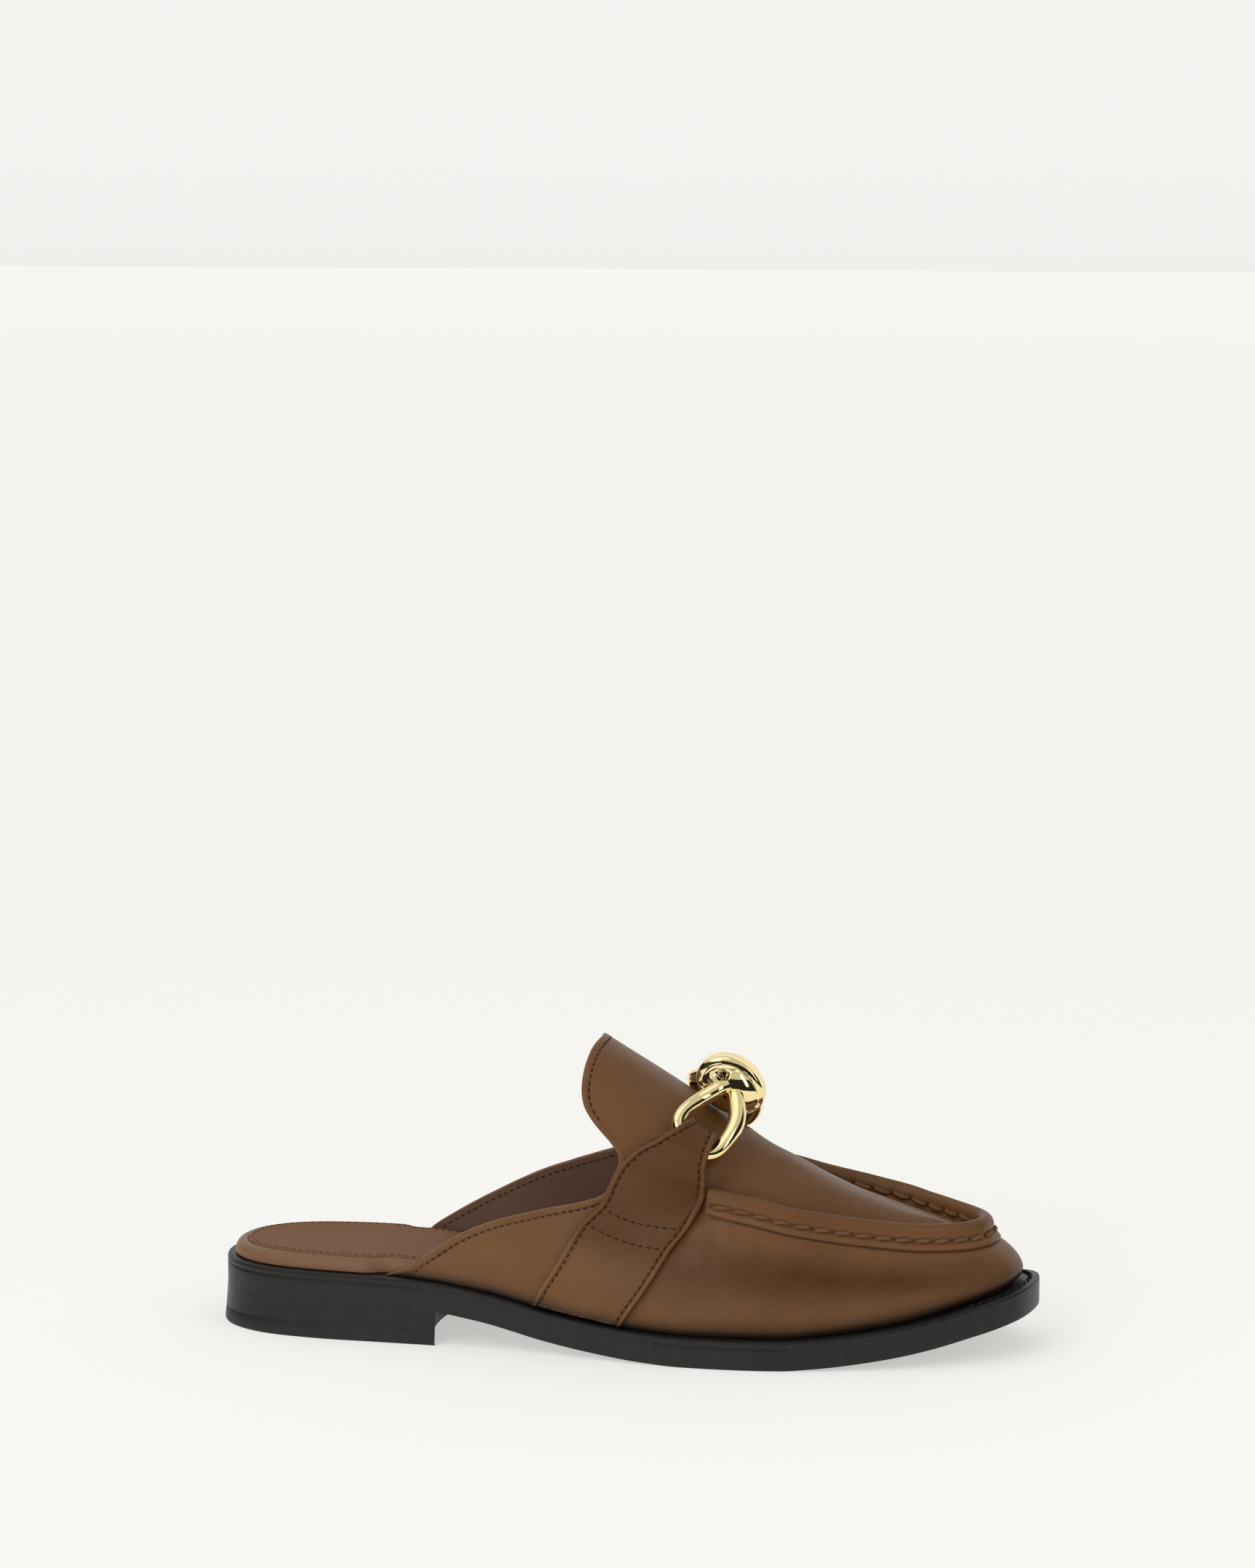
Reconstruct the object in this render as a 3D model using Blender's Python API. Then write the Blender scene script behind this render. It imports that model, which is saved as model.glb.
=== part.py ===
"""A backless loafer for the right foot, standing empty on its sole.

Black outsole, welt and stacked heel; a brown hollow upper with a raised apron seam and a tall tongue;
a cushioned footbed; and two straps folded round the rings of a gold knot.
The toe points along +X and the outer side of the foot faces -Y.
"""
import math

import bmesh
import bpy
import numpy as np
from mathutils import Vector

# Driving dimensions in metres
LENGTH = 0.268
BALL_WIDTH = 0.092
SEAT_HEIGHT = 0.0125
SOLE_EDGE = 0.0095
TONGUE_HEIGHT = 0.0975
WALL = 0.0020
ROLL = 0.0050
GAP = 0.0003

# Sole pieces in metres
WELT_THICKNESS = 0.0022
WELT_WIDTH = 0.0105
LIFT_THICKNESS = 0.0048
HEEL_FLARE = 0.0010
EDGE_BEVEL = 0.0007
FOOTBED_THICKNESS = 0.0027
FOOTBED_RIM = 0.0026
SOCK_THICKNESS = 0.0009
SOCK_MARGIN = 0.0042

# Strap and knot in metres
STRAP_THICKNESS = 0.0016
OVERLAY_STEP = 0.0006
WIRE_RADIUS = 0.0021
KNOT_LENGTH = 0.0236
KNOT_HEIGHT = 0.0182
KNOT_WIDTH = 0.0200

# Sole outline: share of the length, then outer and inner reach as shares of the ball width
OUTLINE_ROWS = (
    (0.0000, 0.0000, 0.0000),
    (0.0082, 0.1228, 0.1228),
    (0.0299, 0.2109, 0.2109),
    (0.0690, 0.2815, 0.2815),
    (0.1343, 0.3228, 0.3239),
    (0.2239, 0.3370, 0.3326),
    (0.2910, 0.3467, 0.3217),
    (0.3545, 0.3620, 0.3076),
    (0.4104, 0.3880, 0.3065),
    (0.4664, 0.4239, 0.3283),
    (0.5224, 0.4587, 0.3717),
    (0.5784, 0.4837, 0.4261),
    (0.6343, 0.4924, 0.4728),
    (0.6903, 0.4848, 0.5033),
    (0.7463, 0.4576, 0.5109),
    (0.8060, 0.4130, 0.4967),
    (0.8657, 0.3543, 0.4565),
    (0.9198, 0.2761, 0.3739),
    (0.9619, 0.1978, 0.2826),
    (0.9881, 0.1043, 0.1848),
    (1.0000, -0.0543, 0.0543),
)

# Underside of the outsole: share of the length, height as a share of the seat height
UNDERSIDE_ROWS = (
    (0.0000, 1.000),
    (0.2239, 0.952),
    (0.2873, 0.864),
    (0.3284, 0.736),
    (0.3545, 0.640),
    (0.3843, 0.504),
    (0.4142, 0.368),
    (0.4739, 0.184),
    (0.5485, 0.040),
    (0.5970, 0.000),
    (0.7090, 0.000),
    (0.7575, 0.060),
    (0.7985, 0.152),
    (0.8433, 0.288),
    (0.8881, 0.472),
    (0.9291, 0.688),
    (0.9739, 0.936),
    (1.0000, 1.104),
)

# Crest of the tongue and apron: share of the length, height as a share of the tongue height
CREST_ROWS = (
    (0.3582, 1.1897),
    (0.4142, 1.0974),
    (0.4720, 1.0000),
    (0.5668, 0.8441),
    (0.6403, 0.7108),
    (0.6978, 0.6195),
    (0.7384, 0.5610),
    (0.7780, 0.5087),
    (0.8049, 0.4810),
    (0.8396, 0.4503),
    (0.8694, 0.4297),
    (0.8955, 0.4164),
)

# Apron seam at each station: station as a share of the length, inset as a share of the ball width,
# height on the outer side, extra height on the inner side (shares of the tongue height),
# lean of the side wall in degrees, and where on the crest the rib ends (share of the length)
SEAM_ROWS = (
    (0.2164, 0.0435, 0.9231, 0.0205, 2, 0.3731),
    (0.3545, 0.0435, 0.8205, 0.0205, 3, 0.4366),
    (0.4142, 0.0370, 0.7426, 0.0205, 5, 0.4720),
    (0.4683, 0.0609, 0.6513, 0.0205, 7, 0.5261),
    (0.5261, 0.0967, 0.5600, 0.0205, 10, 0.5840),
    (0.5784, 0.1348, 0.5292, 0.0205, 22, 0.6250),
    (0.6269, 0.1663, 0.5128, 0.0185, 36, 0.6604),
    (0.6791, 0.1685, 0.4872, 0.0164, 42, 0.6989),
    (0.7276, 0.1685, 0.4574, 0.0164, 46, 0.7351),
    (0.7799, 0.1685, 0.4328, 0.0164, 50, 0.7724),
    (0.8396, 0.1685, 0.4092, 0.0144, 54, 0.8097),
    (0.8955, 0.1696, 0.3918, 0.0103, 57, 0.8377),
    (0.9440, 0.1783, 0.3856, 0.0051, 60, 0.8582),
    (0.9813, 0.1880, 0.3877, 0.0010, 61, 0.8675),
    (1.0000, 0.1902, 0.3887, 0.0000, 61, 0.8694),
)

# Line where the upper stands on the welt: share of the length, inset as a share of the ball width
FEATHER_ROWS = (
    (0.2164, 0.0283),
    (0.5261, 0.0370),
    (0.7463, 0.0435),
    (0.9067, 0.0565),
    (0.9701, 0.0696),
    (1.0000, 0.0761),
)

# Section through the apron seam, outside to inside: inset and height as shares of the roll height
SEAM_SECTION = (
    (-0.90, -0.66),
    (-0.98, -0.46),
    (-0.54, -0.04),
    (-0.55, 0.32),
    (-0.38, 0.78),
    (0.00, 1.00),
    (0.38, 0.78),
    (0.55, 0.32),
    (0.52, -0.08),
    (0.84, -0.12),
    (0.88, -0.26),
)

# Back edge of the upper: share up the rib (0 to 1 side wall, 1 to 2 seam, 2 to 3 apron),
# then station on the outer and the inner side as shares of the length
BACK_ROWS = (
    (0.00, 0.2250, 0.2220),
    (0.04, 0.2500, 0.2313),
    (0.10, 0.2668, 0.2463),
    (0.17, 0.2854, 0.2705),
    (0.25, 0.3034, 0.2948),
    (0.33, 0.3235, 0.3153),
    (0.42, 0.3507, 0.3433),
    (0.50, 0.3769, 0.3627),
    (0.60, 0.4060, 0.3899),
    (0.70, 0.4340, 0.4198),
    (0.80, 0.4608, 0.4440),
    (0.90, 0.4851, 0.4664),
    (1.00, 0.5000, 0.4888),
    (1.50, 0.5067, 0.5019),
    (2.00, 0.5067, 0.5045),
    (2.08, 0.5000, 0.5000),
    (2.12, 0.4869, 0.4869),
    (2.16, 0.4683, 0.4683),
    (2.22, 0.4500, 0.4500),
    (2.30, 0.4388, 0.4388),
    (2.42, 0.4295, 0.4295),
    (2.56, 0.4224, 0.4224),
    (2.78, 0.4160, 0.4160),
    (3.00, 0.4142, 0.4142),
)

# Strap from the welt up, over the ring and back under it: share up the rib, lift of its middle
# as a share of its thickness, stations of its rear and front edges as shares of the length
STRAP_ROWS = (
    (0.030, 0.82, 0.4078, 0.5205),
    (0.180, 0.82, 0.4226, 0.5340),
    (0.340, 0.82, 0.4384, 0.5485),
    (0.500, 0.82, 0.4512, 0.5613),
    (0.690, 0.82, 0.4664, 0.5765),
    (0.700, 0.82, 0.4672, 0.5772),
    (0.900, 0.82, 0.4888, 0.5978),
    (1.500, 0.82, 0.5000, 0.6131),
    (2.000, 0.90, 0.5056, 0.6090),
    (2.080, 1.20, 0.5075, 0.6045),
    (2.150, 2.00, 0.5119, 0.6000),
    (2.200, 3.12, 0.5175, 0.5940),
    (2.250, 4.60, 0.5235, 0.5885),
    (2.315, 5.30, 0.5310, 0.5845),
    (2.385, 5.10, 0.5366, 0.5825),
    (2.445, 4.10, 0.5403, 0.5810),
    (2.485, 2.80, 0.5429, 0.5785),
    (2.465, 1.60, 0.5429, 0.5775),
    (2.410, 0.98, 0.5410, 0.5775),
    (2.330, 0.82, 0.5392, 0.5775),
    (2.260, 0.82, 0.5392, 0.5775),
)
OVERLAY_ROWS = range(5, 17)
FOLD_SHEAR = 1.07

# Ring between its two ends in the knot: station on the outer and the inner side as shares of
# the length, share up the rib, lift as a share of the wire's diameter
RING_ROWS = (
    (0.5504, 0.5448, 2.83, 2.71),
    (0.5373, 0.5205, 2.71, 1.64),
    (0.5291, 0.5110, 2.58, 1.38),
    (0.5272, 0.5190, 2.49, 1.25),
    (0.5336, 0.5320, 2.41, 1.10),
    (0.5515, 0.5515, 2.35, 1.07),
    (0.5701, 0.5701, 2.31, 1.08),
    (0.5880, 0.5880, 2.28, 1.17),
    (0.5950, 0.5950, 2.32, 1.33),
    (0.5963, 0.5963, 2.42, 1.50),
    (0.5963, 0.5963, 2.53, 1.81),
    (0.5888, 0.5888, 2.67, 2.19),
    (0.5765, 0.5765, 2.76, 2.43),
    (0.5653, 0.5653, 2.84, 2.60),
)

# Knot turned about the line through both rings: share of its half width, share of its radius
KNOT_ROWS = (
    (1.00, 0.30),
    (0.97, 0.50),
    (0.86, 0.72),
    (0.68, 0.86),
    (0.52, 0.88),
    (0.46, 0.86),
    (0.36, 0.94),
    (0.20, 1.00),
    (0.06, 0.97),
    (0.00, 0.93),
)
KNOT_STATION = 0.6063

# Stations along the sole and the upper as shares of the length
HEEL_BREAST = 0.287
SOLE_STATIONS = (0, 0.003, 0.012, 0.03, 0.06, 0.10, 0.15, 0.21, HEEL_BREAST, 0.32, 0.36, 0.40, 0.44, 0.48, 0.535,
                 0.597, 0.65, 0.709, 0.76, 0.80, 0.84, 0.875, 0.905, 0.93, 0.953, 0.972, 0.986, 0.9955, 1)
FRONT_STATION = 0.560
RELIEF_FROM, RELIEF_TO = 0.6145, 0.6235
UPPER_STATIONS = (FRONT_STATION, 0.588, RELIEF_FROM, RELIEF_TO, 0.645, 0.675, 0.705, 0.735, 0.765, 0.795, 0.823,
                  0.850, 0.876, 0.900, 0.922, 0.942, 0.960, 0.975, 0.987, 0.9957, 1)
BACK_COLUMNS = 9
WALL_SHARES = (0, 0.10, 0.25, 0.42, 0.60, 0.80, 1.0)
APRON_SHARES = (2.05, 2.10, 2.16, 2.24, 2.36, 2.52, 2.75, 3.0)
INSIDE_ROWS = (0, 3, 7, 10)

LEATHER = (0.105, 0.048, 0.022, 1)
FOOTBED_LEATHER = (0.120, 0.060, 0.038, 1)
SOLE_BLACK = (0.018, 0.017, 0.016, 1)
LIFT_BLACK = (0.012, 0.012, 0.012, 1)
GOLD = (0.830, 0.660, 0.330, 1)


def smooth(x, rows, column):
    """Value of one table column at share x, on a curve that never overshoots its rows."""
    xs = np.array([row[0] for row in rows], float)
    ys = np.array([row[column] for row in rows], float)
    step = np.diff(xs)
    slope = np.diff(ys) / step
    tangent = np.zeros(len(xs))
    tangent[0], tangent[-1] = slope[0], slope[-1]
    for k in range(1, len(xs) - 1):
        if slope[k - 1] * slope[k] > 0:
            w1, w2 = 2 * step[k] + step[k - 1], step[k] + 2 * step[k - 1]
            tangent[k] = (w1 + w2) / (w1 / slope[k - 1] + w2 / slope[k])
    x = min(max(x, xs[0]), xs[-1])
    k = min(int(np.searchsorted(xs, x, side="right")) - 1, len(xs) - 2)
    t = (x - xs[k]) / step[k]
    rise = (2 * t ** 3 - 3 * t ** 2 + 1) * ys[k] + (3 * t ** 2 - 2 * t ** 3) * ys[k + 1]
    bend = (t ** 3 - 2 * t ** 2 + t) * tangent[k] + (t ** 3 - t ** 2) * tangent[k + 1]
    return float(rise + bend * step[k])


def ramp(x, start, end):
    t = min(max((x - start) / (end - start), 0.0), 1.0)
    return t * t * (3 - 2 * t)


def unit(vector):
    return vector / np.linalg.norm(vector)


def spline(points, per_span, closed):
    """Centripetal curve through the points."""
    points = np.asarray(points, float)
    count = len(points)
    if not closed:
        first, last = 2 * points[0] - points[1], 2 * points[-1] - points[-2]
        padded = np.vstack([first, points, last])
    else:
        padded = np.vstack([points[-1], points, points[:2]])
    result = []
    for k in range(len(padded) - 3):
        a, b, c, d = padded[k:k + 4]
        ta = np.linalg.norm(b - a) ** 0.5
        tb = ta + np.linalg.norm(c - b) ** 0.5
        tc = tb + np.linalg.norm(d - c) ** 0.5
        for j in range(per_span):
            t = ta + (tb - ta) * j / per_span
            ab = (ta - t) / ta * a + t / ta * b
            bc = (tb - t) / (tb - ta) * b + (t - ta) / (tb - ta) * c
            cd = (tc - t) / (tc - tb) * c + (t - tb) / (tc - tb) * d
            abc = (tb - t) / tb * ab + t / tb * bc
            bcd = (tc - t) / (tc - ta) * bc + (t - ta) / (tc - ta) * cd
            result.append((tb - t) / (tb - ta) * abc + (t - ta) / (tb - ta) * bcd)
    if not closed:
        result.append(points[count - 1])
    return np.array(result)


def sole_outline():
    """Outline of the sole from the back of the heel round the outer side, the toe and the inner side."""
    outer = [(x * LENGTH, -reach * BALL_WIDTH) for x, reach, _ in OUTLINE_ROWS]
    inner = [(x * LENGTH, reach * BALL_WIDTH) for x, _, reach in OUTLINE_ROWS[-2:0:-1]]
    loop = spline(outer + inner, 24, True)
    loop[:, 0] *= LENGTH / loop[:, 0].max()
    return loop


OUTLINE = sole_outline()
OUTLINE_LOOP = np.vstack([OUTLINE, OUTLINE[:1]])
RUN = np.roll(OUTLINE, -1, 0) - np.roll(OUTLINE, 1, 0)
INWARD = np.stack([-RUN[:, 1], RUN[:, 0]], 1) / np.linalg.norm(RUN, axis=1)[:, None]
INWARD_LOOP = np.vstack([INWARD, INWARD[:1]])
TOE = int(np.argmax(OUTLINE[:, 0]))


def plan(x, side, inset):
    """Point of the sole outline at share x of the length on one side, moved inward by the inset."""
    if side < 0:
        where = np.interp(x * LENGTH, OUTLINE_LOOP[:TOE + 1, 0], np.arange(TOE + 1))
    else:
        where = np.interp(x * LENGTH, OUTLINE_LOOP[TOE:, 0][::-1], np.arange(len(OUTLINE_LOOP) - 1, TOE - 1, -1))
    index = np.arange(len(OUTLINE_LOOP))
    point = np.array([np.interp(where, index, OUTLINE_LOOP[:, k]) for k in (0, 1)])
    inward = np.array([np.interp(where, index, INWARD_LOOP[:, k]) for k in (0, 1)])
    return point + unit(inward) * inset


def underside(x):
    """Height of the outsole's underside at x metres from the back of the heel."""
    return smooth(x / LENGTH, UNDERSIDE_ROWS, 1) * SEAT_HEIGHT


def sole_top(x):
    return underside(x) + SOLE_EDGE


def feather_inset(x):
    return smooth(x, FEATHER_ROWS, 1) * BALL_WIDTH


def crest(x):
    return np.array([x * LENGTH, 0.0, smooth(x, CREST_ROWS, 1) * TONGUE_HEIGHT])


def crest_normal(x):
    run = crest(x + 0.008) - crest(x - 0.008)
    return unit(np.array([-run[2], 0.0, run[0]]))


def seam_point(share, row, relief, depth):
    """Inset and height from the seam's own place, at a share from 0 to 1 through its section."""
    place = share * (len(SEAM_SECTION) - 1)
    lean = math.radians(row["lean"])
    inward = np.array([math.cos(lean), -math.sin(lean)])
    section = np.array(SEAM_SECTION) * ROLL
    run = np.array([math.sin(lean), math.cos(lean)])
    plain = run * (-0.90 + 1.74 * share) * ROLL + inward * depth
    if depth:
        chord = section[0] + (section[-1] - section[0]) * share
        level = unit(section[-1] - section[0])
        below = np.array([level[1], -level[0]])
        shaped = chord + unit(inward * (1 - share) + below * (0.15 + share)) * depth
    else:
        shaped = np.array([np.interp(place, np.arange(len(section)), section[:, k]) for k in (0, 1)])
    return plain * (1 - relief) + shaped * relief


def skin(x, share, side, depth=0.0):
    """Point of the upper on the rib at share x of the length.

    The share runs 0 to 1 up the side wall, 1 to 2 through the seam and 2 to 3 over the apron to its crest.
    Depth 0 is the outside; the inside lies one wall thickness deeper.
    """
    row = {name: smooth(x, SEAM_ROWS, k + 1) for k, name in enumerate(("inset", "outer", "extra", "lean", "crest"))}
    ground = plan(x, side, 0.0)
    height = row["outer"] * TONGUE_HEIGHT + (row["extra"] * TONGUE_HEIGHT if side > 0 else 0.0)
    place = np.array([row["inset"] * BALL_WIDTH, height])
    relief = ramp(x, RELIEF_FROM, RELIEF_TO)
    if share <= 1:
        foot = np.array([feather_inset(x), sole_top(ground[0]) + GAP])
        head = place + seam_point(0.0, row, relief, 0.0)
        rise = head[1] - foot[1]
        lean = math.radians(row["lean"])
        low = foot + np.array([-min(0.002, 0.09 * rise), 0.33 * rise])
        high = head - 0.42 * rise * np.array([math.sin(lean), math.cos(lean)])
        t = share
        flat = (1 - t) ** 3 * foot + 3 * (1 - t) ** 2 * t * low + 3 * (1 - t) * t * t * high + t ** 3 * head
        run = (1 - t) ** 2 * (low - foot) + 2 * (1 - t) * t * (high - low) + t * t * (head - high)
        inward = unit(np.array([run[1], -run[0]]))
        if t == 0:
            inward = np.array([1.0, 0.0])
        if t == 1:
            inward = unit(seam_point(0.0, row, relief, WALL) - seam_point(0.0, row, relief, 0.0))
        flat = flat + inward * depth
    else:
        flat = place + seam_point(min(share - 1, 1.0), row, relief, depth)
    across = plan(x, side, flat[0])
    edge = np.array([across[0], across[1], flat[1]])
    if share <= 2:
        return edge
    normal = crest_normal(row["crest"])
    top = crest(row["crest"]) - normal * depth
    reach = edge - top
    drop = float(reach @ normal)
    level = reach - drop * normal
    width, fall = float(np.linalg.norm(level)), max(-drop, 1e-5)
    radius = (width * width + fall * fall) / (2 * fall)
    full = math.atan2(width, radius - fall)
    turn = (3 - share) * full
    out, down = math.sin(turn) / math.sin(full), (1 - math.cos(turn)) / (1 - math.cos(full))
    return top + level * out + normal * drop * down


def skin_normal(x, share, side):
    along = skin(x + 0.004, share, side) - skin(x - 0.004, share, side)
    up = skin(x, min(share + 0.01, 3.0), side) - skin(x, max(share - 0.01, 0.0), side)
    return unit(np.cross(along, up)) * -side


def above_skin(x, share, side, lift):
    return skin(x, share, side) + skin_normal(x, share, side) * lift


def make_object(name, vertices, faces, colour, roughness=0.5, metallic=0.0):
    """One closed body from vertices and faces, in its own material."""
    shape = bmesh.new()
    made = [shape.verts.new(Vector(point)) for point in vertices]
    shape.verts.ensure_lookup_table()
    for face in faces:
        shape.faces.new([made[k] for k in face])
    bmesh.ops.remove_doubles(shape, verts=shape.verts, dist=1e-6)
    bmesh.ops.dissolve_degenerate(shape, edges=shape.edges, dist=1e-7)
    bmesh.ops.triangulate(shape, faces=shape.faces, quad_method="SHORT_EDGE")
    bmesh.ops.recalc_face_normals(shape, faces=shape.faces)
    mesh = bpy.data.meshes.new(name)
    shape.to_mesh(mesh)
    shape.free()
    made_object = bpy.data.objects.new(name, mesh)
    bpy.context.scene.collection.objects.link(made_object)
    material = bpy.data.materials.new(name)
    material.use_nodes = True
    surface = material.node_tree.nodes["Principled BSDF"]
    surface.inputs["Base Color"].default_value = colour
    surface.inputs["Roughness"].default_value = roughness
    surface.inputs["Metallic"].default_value = metallic
    mesh.materials.append(material)
    return made_object


def ring_points(stations, inset, height):
    """Closed loop round the sole: outer side toward the toe, then inner side back."""
    loop = []
    for side, run in ((-1, stations), (1, stations[-2:0:-1] if stations[-1] == 1 else stations[:0:-1])):
        for x in run:
            moved = inset(x) if callable(inset) else inset
            across = plan(x, side, moved)
            loop.append((across[0], across[1], height(across[0])))
    return loop


def stacked(name, stations, rings, colour, roughness):
    """Solid between loops of equal length, with its first and last loops closed across."""
    loops = [ring_points(stations, inset, height) for inset, height in rings]
    size = len(loops[0])
    vertices = [point for loop in loops for point in loop]
    faces = []
    for k in range(len(loops) - 1):
        for j in range(size):
            follow = (j + 1) % size
            faces.append((k * size + j, k * size + follow, (k + 1) * size + follow, (k + 1) * size + j))
    for start, flip in ((0, True), ((len(loops) - 1) * size, False)):
        near, far = 1, size - 1
        while near <= far:
            cap = [start + near - 1, start + near, start + far, start + (far + 1) % size]
            cap = list(dict.fromkeys(cap))
            faces.append(tuple(reversed(cap)) if flip else tuple(cap))
            near, far = near + 1, far - 1
    return make_object(name, vertices, faces, colour, roughness)


def raised(base, amount):
    return lambda x: base(x) + amount


def outsole():
    ledge = SOLE_EDGE - WELT_THICKNESS - GAP
    island = WELT_WIDTH + GAP
    rings = (
        (EDGE_BEVEL, underside),
        (0.0, raised(underside, EDGE_BEVEL)),
        (0.0, raised(underside, ledge)),
        (island, raised(underside, ledge)),
        (island, sole_top),
    )
    return stacked("outsole", SOLE_STATIONS, rings, SOLE_BLACK, 0.45)


def welt():
    """Closed strip that lies on the ledge of the outsole, all the way round."""
    low = SOLE_EDGE - WELT_THICKNESS
    rings = (
        (0.0, raised(underside, low)),
        (0.0, raised(underside, SOLE_EDGE - 0.5 * EDGE_BEVEL)),
        (0.5 * EDGE_BEVEL, sole_top),
        (WELT_WIDTH, sole_top),
        (WELT_WIDTH, raised(underside, low)),
    )
    loops = [ring_points(SOLE_STATIONS, inset, height) for inset, height in rings]
    size = len(loops[0])
    faces = []
    for k in range(len(loops)):
        above = (k + 1) % len(loops)
        for j in range(size):
            follow = (j + 1) % size
            faces.append((k * size + j, k * size + follow, above * size + follow, above * size + j))
    return make_object("welt", [point for loop in loops for point in loop], faces, SOLE_BLACK, 0.5)


def heel_stations():
    return tuple(x for x in SOLE_STATIONS if x <= HEEL_BREAST)


def heel_stack():
    low = LIFT_THICKNESS + GAP
    flare = -HEEL_FLARE * (1 - low / SEAT_HEIGHT)
    rings = ((flare, lambda x: low), (0.0, raised(underside, -GAP)))
    return stacked("heel_stack", heel_stations(), rings, SOLE_BLACK, 0.45)


def top_lift():
    flare = -HEEL_FLARE * (1 - LIFT_THICKNESS / SEAT_HEIGHT)
    rings = (
        (-HEEL_FLARE + EDGE_BEVEL, lambda x: 0.0),
        (-HEEL_FLARE, lambda x: EDGE_BEVEL),
        (flare, lambda x: LIFT_THICKNESS),
    )
    return stacked("top_lift", heel_stations(), rings, LIFT_BLACK, 0.6)


def footbed_inset(x):
    """Inset of the footbed: a narrow rim at the heel, then clear inside the wall of the upper."""
    share = ramp(x, 0.196, 0.219)
    return FOOTBED_RIM * (1 - share) + (feather_inset(x) + WALL + 3 * GAP) * share


def footbed():
    edge = 0.30 * FOOTBED_THICKNESS
    rings = (
        (footbed_inset, raised(sole_top, GAP)),
        (footbed_inset, raised(sole_top, GAP + FOOTBED_THICKNESS - 1.6 * edge)),
        (lambda x: footbed_inset(x) + 0.5 * edge, raised(sole_top, GAP + FOOTBED_THICKNESS - 0.5 * edge)),
        (lambda x: footbed_inset(x) + 1.8 * edge, raised(sole_top, GAP + FOOTBED_THICKNESS)),
    )
    return stacked("footbed", SOLE_STATIONS, rings, FOOTBED_LEATHER, 0.55)


def sock():
    base = 2 * GAP + FOOTBED_THICKNESS
    rings = (
        (lambda x: footbed_inset(x) + SOCK_MARGIN, raised(sole_top, base)),
        (lambda x: footbed_inset(x) + SOCK_MARGIN + 0.5 * SOCK_THICKNESS, raised(sole_top, base + SOCK_THICKNESS)),
    )
    return stacked("sock", SOLE_STATIONS, rings, FOOTBED_LEATHER, 0.55)


def upper():
    """The whole upper as one hollow solid: both quarters, the vamp, the raised seam, the apron and the tongue."""
    seam_count = len(SEAM_SECTION) - 1
    seam_shares = [1 + k / seam_count for k in range(1, seam_count + 1)]
    shares = list(WALL_SHARES) + seam_shares + list(APRON_SHARES)
    first = len(WALL_SHARES) - 1
    kept = list(range(first)) + [first + k for k in INSIDE_ROWS] + list(range(first + seam_count + 1, len(shares)))
    columns = [k / BACK_COLUMNS for k in range(BACK_COLUMNS)] + list(UPPER_STATIONS)

    def station(column, share, side):
        if column >= BACK_COLUMNS:
            return columns[column]
        start = float(np.interp(share, [row[0] for row in BACK_ROWS], [row[1 if side < 0 else 2] for row in BACK_ROWS]))
        return start + (FRONT_STATION - start) * columns[column]

    def sheet(picked, depth):
        path = [(k, -1) for k in picked] + [(k, 1) for k in reversed(picked[:-1])]
        return [[skin(station(c, shares[k], side), shares[k], side, depth) for k, side in path]
                for c in range(len(columns))]

    everything = list(range(len(shares)))
    outside, inside = sheet(everything, 0.0), sheet(kept, WALL)
    vertices, faces = [], []
    starts = []
    for grid in (outside, inside):
        starts.append(len(vertices))
        for line in grid:
            vertices.extend(line)
    rows = (len(outside[0]), len(inside[0]))
    for layer in (0, 1):
        for c in range(len(columns) - 1):
            for r in range(rows[layer] - 1):
                a = starts[layer] + c * rows[layer] + r
                quad = (a, a + rows[layer], a + rows[layer] + 1, a + 1)
                faces.append(quad if layer == 0 else tuple(reversed(quad)))
    for c in range(len(columns) - 1):
        for outer_row, inner_row in ((0, 0), (rows[0] - 1, rows[1] - 1)):
            o, i = c * rows[0] + outer_row, starts[1] + c * rows[1] + inner_row
            faces.append((o, i, i + rows[1], o + rows[0]))
    matched = kept + [2 * len(shares) - 2 - k for k in reversed(kept[:-1])]
    for r in range(rows[1] - 1):
        edge = list(range(matched[r], matched[r + 1] + 1))
        faces.append(tuple(edge + [starts[1] + r + 1, starts[1] + r]))
    return make_object("upper", vertices, faces, LEATHER, 0.4)


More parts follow.
